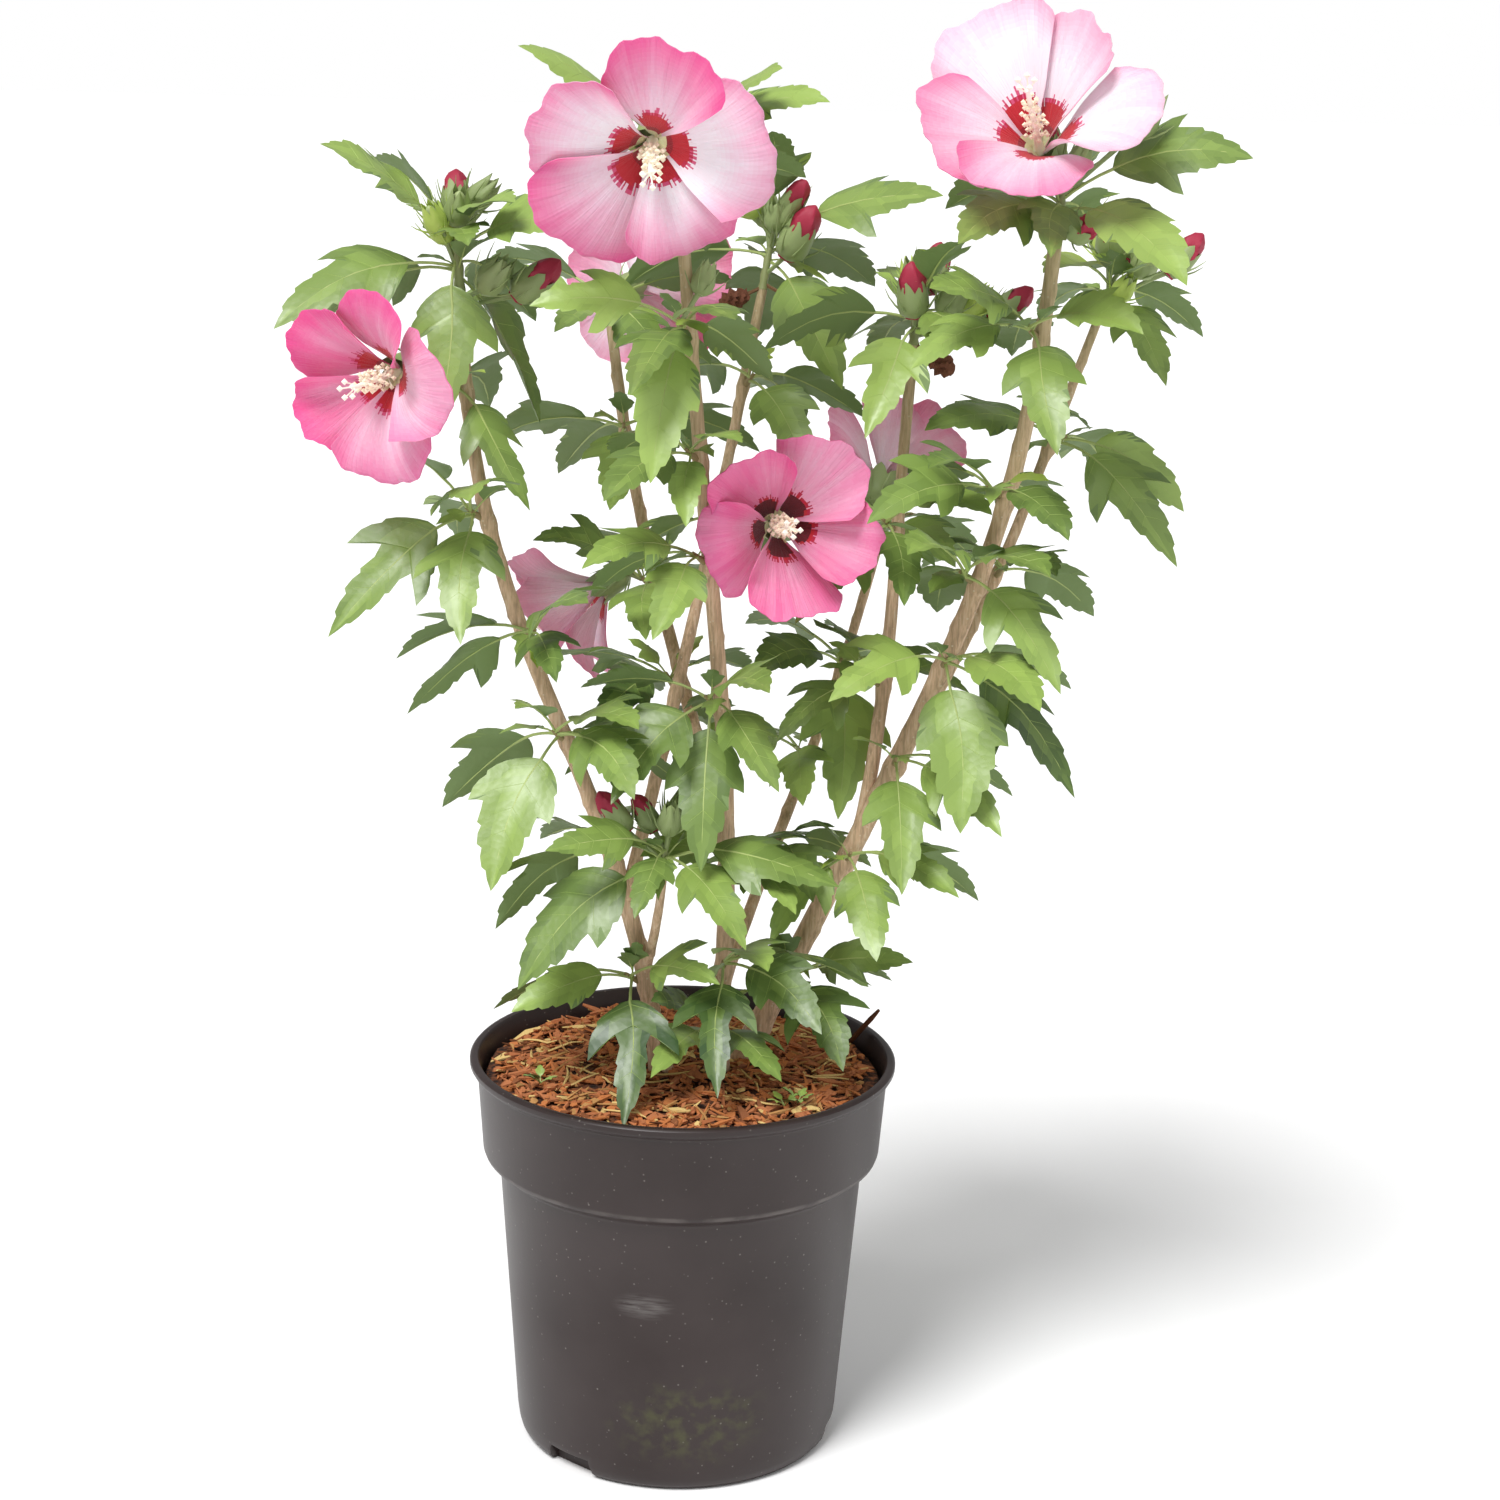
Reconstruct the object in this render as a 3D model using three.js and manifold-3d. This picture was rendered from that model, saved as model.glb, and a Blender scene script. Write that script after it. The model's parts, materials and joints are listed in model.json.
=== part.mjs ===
// A hardy hibiscus shrub in bloom, standing in its round nursery pot.
// Millimetres, +Z up. The origin is the centre of the pot's flat underside, and the shrub's front faces -Y.
// A turn is an angle round Z from +X, and a rise is an angle above the level, both in degrees.

import * as THREE from 'three';
import { mergeVertices } from 'three/addons/utils/BufferGeometryUtils.js';
import Module from 'manifold-3d';

const wasm = await Module();
wasm.setup();

// ---------------------------------------------------------------- driving dimensions

const GAP = 0.3; // between neighbouring solids
const WELD = 1e-3; // corners this near each other are one

const POT_HEIGHT = 178;
const POT_WALL = 2;
const POT_FLOOR = 4;
const POT_SIDES = 32;
const FOOT_RADIUS = 67; // where the underside turns up
const BASE_RADIUS = 73; // at the bottom of the tapering body
const BODY_RADIUS = 81.5; // at the top of the tapering body
const BODY_HEIGHT = 128;
const COLLAR_RADIUS = 89; // at the foot of the wide collar
const COLLAR_FOOT = 134;
const RIM_RADIUS = 95;
const RIM_BAND = 4; // height of the rolled lip
// Drain notches in the foot of the pot.
const NOTCH = { count: 3, turn: -131, width: 30, height: 9, depth: 16, narrowing: 0.75 };

const SOIL_TOP = 171; // level patch that the stems stand on
const SOIL_PATCH = 46;
const SOIL_EDGE = 167;

const TWIG_RADIUS = 2.2;
const TWIG_TAPER = 0.25;
const TWIG_RISE = 35;
const SPUR_LENGTH = 9; // of a spray's twig, outside its limb
const FIRST_JOINT = 0.42; // shares of the spur at its lowest and its highest leaf
const LAST_JOINT = 0.88;
const LEAF_REACH = 66; // from joint to tip, stalk and blade together
const STALK_SHARE = 0.24; // part of a leaf's reach that is stalk
const LEAF_ARCH = 0.25; // rise of the arching midrib, as a share of the reach
const LEAF_LEAN = 38; // how far a leaf that points sideways turns its face to the front, or to the back
const LEAF_SWAY = 14; // and how far chance turns it either way

const PETAL_THICKNESS = 1.2;
const PETALS = 5;
const THROAT_RADIUS = 2.5;
const THROAT_LEAN = 36; // angle between a petal's claw and the bloom's axis
const PETAL_HALF_TURN = 39; // each petal reaches this far round the axis either way
const PETAL_FACETS = 3;
const PETAL_ROUNDING = 0.2;
const PETAL_LIFT = 1.8; // how far one edge lies above the next petal
const CALYX_LENGTH = 14;
const CALYX_RADIUS = 6.5;
const COLUMN_LENGTH = 36;
const BLOOM_STALK_RADIUS = 1.2;
const BUD_LENGTH = 21;
const BUD_RADIUS = 5.6;
// The first bud's joint is this share of the way up the twig, and each other bud's a step lower.
const BUD_STALK = { length: 11, radius: 1, rise: 58, first: 0.97, step: 0.12 };
const BLOOM_JOINT = 0.8; // share of the twig where a bloom's stalk leaves it

const SEED = 1873;
const GOLDEN_TURN = 137.5;

// ---------------------------------------------------------------- limbs

// A limb runs from its foot to its tip. It is bowed once along X and Y, and swayed both ways along X.
// A bough's foot is the point a given share of the way up its parent.
const LIMBS = [
  {
    name: 'left_stem', foot: [-9, -15, SOIL_TOP],
    tip: [-98, -20, 506], bow: [-4, -6], sway: 8, girth: [4, 2.7],
  },
  {
    name: 'centre_stem', foot: [15, -9, SOIL_TOP],
    tip: [-6, -40, 535], bow: [8, -4], sway: 2, girth: [4, 2.6],
  },
  {
    name: 'right_stem', foot: [26, 8, SOIL_TOP],
    tip: [145, -35, 545], bow: [22, 0], sway: -4, girth: [5.2, 2.8],
  },
  {
    name: 'left_shoot', parent: 'left_stem', at: 0.15,
    tip: [-10, -40, 272], bow: [1, -3], sway: 0, girth: [2.2, 1.8],
  },
  {
    name: 'middle_bough', parent: 'left_stem', at: 0.25,
    tip: [28, 45, 513], bow: [2, 0], sway: 0, girth: [3, 2.1],
  },
  {
    name: 'back_left_bough', parent: 'centre_stem', at: 0.29, tip: [-38, 60, 495],
    bow: [-6, 18], sway: 1, girth: [3.1, 2.3],
  },
  {
    name: 'low_right_bough', parent: 'centre_stem', at: 0.12, tip: [84, 60, 402],
    bow: [3, 4], sway: -1, girth: [2.7, 2],
  },
  {
    name: 'inner_right_bough', parent: 'right_stem', at: 0.3, tip: [92, 10, 494],
    bow: [3, 2], sway: 1, girth: [3.1, 2.3],
  },
  {
    name: 'outer_right_bough', parent: 'right_stem', at: 0.37, tip: [177, 50, 507],
    bow: [7, 4], sway: 1, girth: [2.9, 2],
  },
];

const STEM_SIDES = 8;
const BOUGH_SIDES = 6;
const LIMB_STEP = 34; // length of one straight facet
const ROOT_FLARE = 0.7; // extra girth at the soil, as a share
const FLARE_HEIGHT = 0.03; // share of the stem over which the flare dies away

// ---------------------------------------------------------------- what the sprays carry

// A spray is one mass of leaves, buds and bloom. It stands on its limb, at a share of the limb's height, and
// 1 is the tip.
// Each leaf is [turn, rise of its tip seen from its joint, reach if not the usual one], lowest joint first.
// A bloom is its heart (where the petals meet), the way it faces, its petals' length and how far they open.
const SPRAYS = [
  {
    name: 'left_crown', limb: 'left_stem', at: 1, spur: 36, buds: 5,
    leaves: [
      [-20, -40, 72], [160, -20], [-160, -18, 80], [60, -25], [-110, -68, 84], [-38, 12, 70],
      [-160, 32, 72], [100, 5], [-95, 10, 50], [-82, 30, 55], [150, 35, 50],
    ],
  },
  {
    name: 'left_bloom', limb: 'left_stem', at: 0.9,
    leaves: [[-35, -50, 62], [50, -15], [135, -25]],
    bloom: { heart: [-121, -47, 484], turn: -120, rise: -8, petal: 47, open: 66, roll: 20 },
  },
  {
    name: 'left_upper', limb: 'left_stem', at: 0.74,
    leaves: [[-160, -38, 80], [-92, -45], [100, -20], [-48, 8], [-100, 15, 58]],
  },
  {
    name: 'left_middle', limb: 'left_stem', at: 0.59,
    leaves: [[-65, 22], [-75, -12, 50], [130, -15], [175, -35]],
  },
  {
    name: 'left_lower', limb: 'left_stem', at: 0.46,
    leaves: [[-125, -52, 74], [5, -25], [-58, -12], [150, -35, 72], [-112, 25, 44], [-50, 12, 58]],
  },
  { name: 'left_back', limb: 'left_stem', at: 0.3, leaves: [[120, -10], [165, -40], [70, 5, 54]] },
  {
    name: 'left_foot', limb: 'left_stem', at: 0.13,
    leaves: [[-155, -8, 58], [-92, -42, 74], [-45, 10, 56], [165, -20]],
  },
  {
    name: 'shoot_crown', limb: 'left_shoot', at: 1, spur: 14, buds: 2,
    leaves: [[-160, -38, 82], [-14, -4, 76], [-52, -26, 62], [-150, 8, 58], [-100, -30, 44]],
  },
  {
    name: 'centre_crown', limb: 'centre_stem', at: 1, spur: 42,
    leaves: [
      [80, -20], [-150, 4, 56], [30, 5, 60], [150, -5, 58],
      [-158, 36, 84], [-40, 38, 66], [110, 30, 56], [-15, 20, 66],
    ],
    bloom: { heart: [-19, -68, 578], turn: -90, rise: -20, petal: 55, open: 88, roll: 8 },
  },
  {
    name: 'centre_neck', limb: 'centre_stem', at: 0.9, spur: 14,
    leaves: [[-112, -22, 58], [-70, 8, 60], [-108, -58, 70], [-172, 6, 62], [95, -35], [30, -30, 52]],
  },
  {
    name: 'centre_high', limb: 'centre_stem', at: 0.76,
    leaves: [[-130, -14, 56], [-100, -30, 44], [-62, 12, 46], [120, -10]],
  },
  {
    name: 'centre_upper', limb: 'centre_stem', at: 0.64,
    leaves: [[-138, 2, 64], [-112, -30, 54], [150, -25, 56]],
  },
  {
    name: 'centre_middle', limb: 'centre_stem', at: 0.47,
    leaves: [[-135, -32, 64], [-95, -62, 74], [-55, -30, 58], [100, -25], [-62, 14, 54], [165, 0, 56]],
  },
  {
    name: 'centre_lower', limb: 'centre_stem', at: 0.27,
    leaves: [[-60, -10, 52], [-140, 5, 50], [60, 0, 54]],
  },
  {
    name: 'centre_foot', limb: 'centre_stem', at: 0.14,
    leaves: [[-92, -38, 68], [-48, -14, 64], [-72, 14, 60], [15, -12]],
  },
  {
    name: 'centre_base', limb: 'centre_stem', at: 0.05,
    leaves: [[-118, -4, 56], [-78, 6, 60], [-140, 26, 44]],
  },
  {
    name: 'back_left_crown', limb: 'back_left_bough', at: 1, spur: 12,
    leaves: [[-175, 5], [-112, -5, 58], [-60, -20, 56], [150, 15], [35, 0, 60], [10, 35, 54]],
    bloom: { heart: [-30, 80, 510], turn: 72, rise: 4, petal: 50, open: 82, roll: 0 },
  },
  {
    name: 'back_left_upper', limb: 'back_left_bough', at: 0.78,
    leaves: [[-95, -28, 60], [170, -10], [100, -30], [20, -12]],
  },
  {
    name: 'back_left_bloom', limb: 'back_left_bough', at: 0.48,
    leaves: [[-80, -15, 58], [60, -12], [115, 10], [-165, 20, 52]],
    bloom: { heart: [-40, 47, 380], turn: 168, rise: -38, petal: 48, open: 58, roll: 10 },
  },
  {
    name: 'back_left_lower', limb: 'back_left_bough', at: 0.2,
    leaves: [[155, -25], [80, -8, 58], [30, -15, 52]],
  },
  {
    name: 'middle_crown', limb: 'middle_bough', at: 1, spur: 26, buds: 4,
    leaves: [[110, -30], [-42, -50, 68], [170, -10], [40, -15], [-18, 18, 80], [100, 25], [-78, 45, 58]],
  },
  {
    name: 'middle_upper', limb: 'middle_bough', at: 0.84,
    leaves: [[-62, -32, 62], [75, -25], [135, -8], [10, -20, 58]],
  },
  {
    name: 'middle_bloom', limb: 'middle_bough', at: 0.63,
    leaves: [[170, -30, 58]],
    bloom: { heart: [34, -22, 421], turn: -80, rise: 6, petal: 51, open: 58, roll: 36 },
  },
  {
    name: 'middle_lower', limb: 'middle_bough', at: 0.34,
    leaves: [[120, -20], [60, -5, 58], [170, 5, 54], [-120, -20, 50]],
  },
  {
    name: 'low_right_crown', limb: 'low_right_bough', at: 1, spur: 10,
    leaves: [[150, -15], [40, -20], [-60, -10, 58], [100, -30], [0, 12, 56]],
    bloom: { heart: [84, 67, 428], turn: 70, rise: 38, petal: 40, open: 52, roll: 0 },
  },
  {
    name: 'low_right_upper', limb: 'low_right_bough', at: 0.7,
    leaves: [[-92, -55, 74], [-128, 4, 64], [-58, -12, 60], [60, -12], [130, 5]],
  },
  {
    name: 'low_right_middle', limb: 'low_right_bough', at: 0.5,
    leaves: [[-138, 10, 62], [110, -10], [-70, -20, 54]],
  },
  { name: 'low_right_lower', limb: 'low_right_bough', at: 0.3, leaves: [[-75, -12, 56], [5, -5, 54]] },
  {
    name: 'inner_crown', limb: 'inner_right_bough', at: 1, spur: 18, buds: 4,
    leaves: [
      [-118, -42, 64], [100, -20], [165, -18], [-60, -5, 52], [30, -22, 56], [-96, 46, 56], [60, 30, 50],
    ],
  },
  {
    name: 'inner_middle', limb: 'inner_right_bough', at: 0.62,
    leaves: [[-138, -34, 66], [-85, -28, 56], [90, -20], [-128, 12, 62], [-48, 10, 62], [160, -10, 58]],
  },
  { name: 'inner_lower', limb: 'inner_right_bough', at: 0.3, leaves: [[-150, -25, 54], [110, 15, 52]] },
  {
    name: 'right_crown', limb: 'right_stem', at: 1, spur: 16, buds: 2,
    leaves: [
      [-132, -8, 68], [-35, -28, 84], [70, -15], [-108, -22, 56], [130, -5], [-14, 14, 78], [40, 30, 54],
    ],
    bloom: { heart: [136, -40, 577], turn: -109, rise: 40, petal: 60, open: 70, roll: 30 },
  },
  {
    name: 'right_neck', limb: 'right_stem', at: 0.88,
    leaves: [[-138, 18, 66], [-82, -42, 66], [90, -15], [-150, -14, 60], [-45, 2, 58]],
  },
  {
    name: 'right_upper', limb: 'right_stem', at: 0.7,
    leaves: [[-148, -8, 66], [-60, -14, 54], [60, -28], [-122, 14, 60], [130, -5, 58]],
  },
  {
    name: 'right_middle', limb: 'right_stem', at: 0.6,
    leaves: [[-142, 6, 72], [-45, -38, 68], [95, -15], [-60, 8, 62]],
  },
  {
    name: 'right_lower', limb: 'right_stem', at: 0.5,
    leaves: [[-82, -58, 76], [-36, -44, 80], [25, -15], [-145, -10, 64], [-50, -8, 66]],
  },
  {
    name: 'right_fork', limb: 'right_stem', at: 0.38,
    leaves: [[-88, -48, 64], [-42, -22, 62], [15, -20, 58]],
  },
  {
    name: 'right_low', limb: 'right_stem', at: 0.26,
    leaves: [[-78, -32, 60], [-130, -30, 56], [15, -22], [-30, -12, 54]],
  },
  {
    name: 'right_base', limb: 'right_stem', at: 0.1,
    leaves: [[-66, -22, 62], [-12, 10, 56], [30, -10, 56]],
  },
  {
    name: 'outer_crown', limb: 'outer_right_bough', at: 1, spur: 14, buds: 4,
    leaves: [[-75, -28, 62], [110, -15], [-40, 2, 58], [10, -20, 52], [-125, 8, 64], [60, 20, 56]],
  },
  {
    name: 'outer_upper', limb: 'outer_right_bough', at: 0.7,
    leaves: [[-42, -36, 80], [-150, 6, 72], [60, -22], [-12, -28, 62], [-112, 16, 64], [125, -10]],
  },
  {
    name: 'outer_lower', limb: 'outer_right_bough', at: 0.42,
    leaves: [[-72, 8, 58], [30, -25, 58], [100, -15], [150, 5, 56]],
  },
];

// ---------------------------------------------------------------- small helpers

const { degToRad } = THREE.MathUtils;
const UP = new THREE.Vector3(0, 0, 1);
const vector = (place) => new THREE.Vector3(...place);

// The same number from -1 to 1 for the same whole-number keys.
function chance(...keys) {
  let hash = SEED;
  for (const key of keys) {
    hash = Math.imul(hash ^ (key + 40503), 2246822507);
    hash ^= hash >>> 13;
    hash = Math.imul(hash, 3266489909);
    hash ^= hash >>> 16;
  }
  return (hash >>> 0) / 2147483648 - 1;
}

// The unit vector of a turn and a rise.
function heading(turn, rise) {
  const level = Math.cos(degToRad(rise));
  return new THREE.Vector3(
    level * Math.cos(degToRad(turn)),
    level * Math.sin(degToRad(turn)),
    Math.sin(degToRad(rise)),
  );
}

// Moves every vertex of a geometry to where place(x, y, z) says.
function warp(geometry, place) {
  const spots = geometry.attributes.position;
  for (let i = 0; i < spots.count; i += 1) {
    const spot = place(spots.getX(i), spots.getY(i), spots.getZ(i));
    spots.setXYZ(i, spot.x, spot.y, spot.z);
  }
  return geometry;
}

// A closed geometry as a solid that can be joined and cut.
function solid(geometry) {
  const bare = geometry.index ? geometry.toNonIndexed() : geometry;
  bare.deleteAttribute('normal');
  bare.deleteAttribute('uv');
  const merged = mergeVertices(bare, WELD);
  const corners = merged.index.array;
  const triVerts = [];
  for (let i = 0; i < corners.length; i += 3) {
    const [a, b, c] = corners.subarray(i, i + 3);
    if (a !== b && b !== c && c !== a) triVerts.push(a, b, c);
  }
  return new wasm.Manifold(new wasm.Mesh({
    numProp: 3,
    vertProperties: merged.attributes.position.array,
    triVerts: new Uint32Array(triVerts),
  }));
}

const join = (solids) => solids.reduce((whole, piece) => whole.add(piece));
const bulk = (body) => body.volume();

// The largest body of a solid, without the scraps that a cut leaves.
function wholeOf(cut) {
  return cut.decompose().reduce((most, body) => (bulk(body) > bulk(most) ? body : most));
}

function named(name, cut, material) {
  const { vertProperties, triVerts } = cut.getMesh();
  const geometry = new THREE.BufferGeometry();
  geometry.setAttribute('position', new THREE.BufferAttribute(vertProperties, 3));
  geometry.setIndex(new THREE.BufferAttribute(triVerts, 1));
  geometry.computeVertexNormals();
  const mesh = new THREE.Mesh(geometry, material);
  mesh.name = name;
  return mesh;
}

// A tapering round bar of few sides along a curve, closed by flat ends.
function bar(curve, radiusAt, sides, steps, to = 1) {
  const ring = new THREE.Shape();
  ring.setFromPoints(Array.from({ length: sides }, (_, i) => {
    const turn = (2 * Math.PI * i) / sides;
    return new THREE.Vector2(Math.cos(turn), Math.sin(turn));
  }));
  const chord = curve.getPoint(1).sub(curve.getPoint(0)).normalize();
  const guide = Math.abs(chord.y) < 0.7 ? vector([0, 1, 0]) : vector([1, 0, 0]);
  const straight = new THREE.ExtrudeGeometry(ring, { depth: 1, steps, bevelEnabled: false });
  return solid(warp(straight, (x, y, z) => {
    const share = z * to;
    const along = curve.getTangent(Math.min(share, 1));
    const side = along.clone().cross(guide).normalize();
    const other = along.clone().cross(side);
    const radius = radiusAt(share);
    return curve.getPoint(share).addScaledVector(side, x * radius).addScaledVector(other, y * radius);
  }));
}

// ---------------------------------------------------------------- pot and soil

// A ring profile from inside to outside and back, spun round the pot's axis.
function spun(profile, sides) {
  const outline = profile.map(([r, z]) => new THREE.Vector2(r, z));
  return solid(new THREE.LatheGeometry(outline, sides).rotateX(Math.PI / 2));
}

// The inside follows the outside one wall thickness in, so the soil can follow it too.
const insideWall = (inset) => [
  [FOOT_RADIUS - inset, POT_FLOOR + inset - POT_WALL],
  [BASE_RADIUS - inset, 13],
  [BODY_RADIUS - inset, BODY_HEIGHT + 2],
  [COLLAR_RADIUS - inset, COLLAR_FOOT + 2],
];

function potSolid() {
  const rimFoot = POT_HEIGHT - RIM_BAND;
  const profile = [
    [0, 0],
    [FOOT_RADIUS, 0],
    [BASE_RADIUS - 2, 4],
    [BASE_RADIUS, 12],
    [BODY_RADIUS, BODY_HEIGHT],
    [COLLAR_RADIUS - 3, COLLAR_FOOT - 1.5],
    [COLLAR_RADIUS, COLLAR_FOOT + 1.5],
    [COLLAR_RADIUS + 3, rimFoot - 2],
    [RIM_RADIUS, rimFoot],
    [RIM_RADIUS, POT_HEIGHT - 1],
    [RIM_RADIUS - 1.5, POT_HEIGHT],
    [RIM_RADIUS - 4.2, POT_HEIGHT - 1],
    ...insideWall(POT_WALL).reverse(),
    [0, POT_FLOOR],
  ];
  const notch = new THREE.BoxGeometry(NOTCH.depth, NOTCH.width, 2 * NOTCH.height);
  const cuts = Array.from({ length: NOTCH.count }, (_, i) => {
    const turn = degToRad(NOTCH.turn + (360 * i) / NOTCH.count);
    const narrowed = (x, y, z) => new THREE.Vector3(x, y * (z > 0 ? NOTCH.narrowing : 1), z);
    const cut = warp(notch.clone(), narrowed);
    return solid(cut.translate(BASE_RADIUS, 0, 0).rotateZ(turn));
  });
  return spun(profile, POT_SIDES).subtract(join(cuts));
}

function soilSolid() {
  const inset = POT_WALL + GAP;
  const profile = [
    [0, POT_FLOOR + GAP],
    ...insideWall(inset),
    [COLLAR_RADIUS + 1.5 - inset, SOIL_EDGE],
    [SOIL_PATCH, SOIL_TOP - GAP],
    [0, SOIL_TOP - GAP],
  ];
  return spun(profile, POT_SIDES);
}

// ---------------------------------------------------------------- stems and boughs

class LimbCurve extends THREE.Curve {
  constructor(foot, tip, bow, sway) {
    super();
    Object.assign(this, { foot, tip, bow, sway });
  }

  getPoint(share, target = new THREE.Vector3()) {
    const arch = Math.sin(Math.PI * share);
    target.lerpVectors(this.foot, this.tip, share);
    target.x += this.bow[0] * arch + this.sway * Math.sin(2 * Math.PI * share);
    target.y += this.bow[1] * arch;
    return target;
  }
}

const limbCurves = new Map();
for (const limb of LIMBS) {
  const foot = limb.parent ? limbCurves.get(limb.parent).getPoint(limb.at) : vector(limb.foot);
  limbCurves.set(limb.name, new LimbCurve(foot, vector(limb.tip), limb.bow, limb.sway));
}

// The radius of a limb, which flares at the foot of a stem.
function girthAt(name, share) {
  const { parent, girth: [low, high] } = LIMBS.find((limb) => limb.name === name);
  const flare = parent ? 0 : ROOT_FLARE * Math.exp(-share / FLARE_HEIGHT);
  return THREE.MathUtils.lerp(low, high, share) * (1 + flare);
}

// A limb, or the room it needs when it is made GAP fatter and longer.
function limbSolid({ name, parent }, extra = 0) {
  const curve = limbCurves.get(name);
  const length = curve.getLength();
  const radiusAt = (share) => girthAt(name, share) + extra;
  const sides = parent ? BOUGH_SIDES : STEM_SIDES;
  return bar(curve, radiusAt, sides, Math.round(length / LIMB_STEP), 1 + extra / length);
}

const groundBlock = solid(new THREE.BoxGeometry(400, 400, 40).translate(0, 0, SOIL_TOP - 20));
const limbSolids = new Map();
const limbRooms = new Map(LIMBS.map((limb) => [limb.name, limbSolid(limb, GAP)]));
for (const limb of LIMBS) {
  const away = limb.parent ? limbRooms.get(limb.parent) : groundBlock;
  limbSolids.set(limb.name, wholeOf(limbSolid(limb).subtract(away)));
}

// ---------------------------------------------------------------- leaves

// Rings of a leaf from its joint to its tip: [share of the reach, half width as a share of it, keel in mm].
// The first two are its stalk, the third its side lobes, and the fourth the notches above them.
const LEAF_RINGS = [
  [0, 0.011, 1], [STALK_SHARE, 0.013, 1.2], [0.61, 0.29, 1.2], [0.71, 0.15, 1], [1, 0, 0],
];
const CREST_SHARE = 0.45; // where the midrib arches highest

// A leaf's midrib arches from its joint to its tip, and the line across it is level but for its tilt.
function leafLine(joint, turn, rise, reach, tilt) {
  const tip = joint.clone().addScaledVector(heading(turn, rise), reach);
  const crest = joint.clone().lerp(tip, CREST_SHARE).addScaledVector(UP, LEAF_ARCH * reach);
  const curve = new THREE.QuadraticBezierCurve3(joint, crest, tip);
  return { curve, across: UP.clone().cross(heading(turn, 0)), reach, tilt: degToRad(tilt) };
}

// A leaf is a three-sided bar, flat on top and keeled below. With a margin it is the room that the leaf needs.
function leafSolid({ curve, across, reach, tilt }, margin = 0) {
  const section = new THREE.Shape([[-1, 0], [0, -1], [1, 0]].map(([x, y]) => new THREE.Vector2(x, y)));
  const steps = LEAF_RINGS.length - 1;
  const straight = new THREE.ExtrudeGeometry(section, { depth: 1, steps, bevelEnabled: false });
  return solid(warp(straight, (x, y, z) => {
    const [share, width, keel] = LEAF_RINGS[Math.round(z * steps)];
    const along = curve.getTangent(share);
    const side = across.clone().applyAxisAngle(along, tilt);
    const face = along.clone().cross(side);
    return curve.getPoint(share)
      .addScaledVector(side, x * (width * reach + margin))
      .addScaledVector(face, y * (keel + 2 * margin) + margin);
  }));
}

// ---------------------------------------------------------------- blooms and buds

// The frame of a bloom: its axis, and a start and a side to measure its petals' turns from.
function bloomFrame({ turn, rise }) {
  const axis = heading(turn, rise);
  const side = UP.clone().cross(heading(turn, 0));
  return { axis, side, start: axis.clone().cross(side) };
}

// A petal leaves the throat steeply and opens out towards its rounded end, one edge over the next petal.
function petalSolid({ heart, petal, open, roll }, { axis, side, start }, index) {
  const middle = degToRad(roll + (360 * index) / PETALS);
  const first = degToRad(THROAT_LEAN);
  const bend = (degToRad(open) - first) / petal;
  const slab = new THREE.BoxGeometry(2, 1, 1, PETAL_FACETS, 2, 1).translate(0, 0.5, 0);
  return solid(warp(slab, (x, y, z) => {
    const along = y * (1 - PETAL_ROUNDING * x * x * y);
    const lean = first + bend * petal * along;
    const turn = middle + x * degToRad(PETAL_HALF_TURN);
    const outward = start.clone().multiplyScalar(Math.cos(turn)).addScaledVector(side, Math.sin(turn));
    const out = THROAT_RADIUS + (Math.cos(first) - Math.cos(lean)) / bend;
    const rise = (Math.sin(lean) - Math.sin(first)) / bend;
    const inward = axis.clone().multiplyScalar(Math.sin(lean)).addScaledVector(outward, -Math.cos(lean));
    return vector(heart)
      .addScaledVector(axis, rise)
      .addScaledVector(outward, out)
      .addScaledVector(inward, x * PETAL_LIFT + z * PETAL_THICKNESS);
  }));
}

// A body turned about an axis from a base point: profile rows are [radius, height].
function turned(profile, sides, base, axis) {
  const lathe = new THREE.LatheGeometry(profile.map(([r, h]) => new THREE.Vector2(r, h)), sides);
  const stand = new THREE.Quaternion().setFromUnitVectors(new THREE.Vector3(0, 1, 0), axis);
  return solid(lathe.applyQuaternion(stand).translate(...base.toArray()));
}

function bloomSolids(bloom) {
  const frame = bloomFrame(bloom);
  const heart = vector(bloom.heart);
  const base = heart.clone().addScaledVector(frame.axis, -CALYX_LENGTH);
  const cup = [[0, 0], [CALYX_RADIUS, 7], [CALYX_RADIUS - 1, CALYX_LENGTH + 2], [0, CALYX_LENGTH + 3]];
  const column = [[0, 0], [2, 1], [4.5, 18], [4, 29], [0, COLUMN_LENGTH]];
  const petals = Array.from({ length: PETALS }, (_, index) => petalSolid(bloom, frame, index));
  return [turned(cup, 5, base, frame.axis), turned(column, 5, heart, frame.axis), ...petals];
}

const calyxBase = (bloom) => vector(bloom.heart).addScaledVector(bloomFrame(bloom).axis, -CALYX_LENGTH);

// A bud stands on a short stalk off the top of its spray's twig.
function budSolids(twig, seed, index) {
  const joint = twig.getPoint(BUD_STALK.first - BUD_STALK.step * index);
  const turn = GOLDEN_TURN * index + 60 * chance(seed, index, 1);
  const axis = heading(turn, BUD_STALK.rise + 14 * chance(seed, index, 2));
  const length = BUD_STALK.length * (1 + 0.3 * chance(seed, index, 3));
  const base = joint.clone().addScaledVector(axis, length);
  const scale = 0.9 + 0.18 * chance(seed, index, 4);
  const profile = [[0, 0], [4.4, 3], [BUD_RADIUS, 10], [0, BUD_LENGTH]];
  const body = profile.map(([r, h]) => [r * scale, h * scale]);
  const stalk = new THREE.LineCurve3(joint, base.clone().addScaledVector(axis, 2));
  return [bar(stalk, () => BUD_STALK.radius, 3, 1), turned(body, 5, base, axis)];
}

// ---------------------------------------------------------------- sprays

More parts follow.
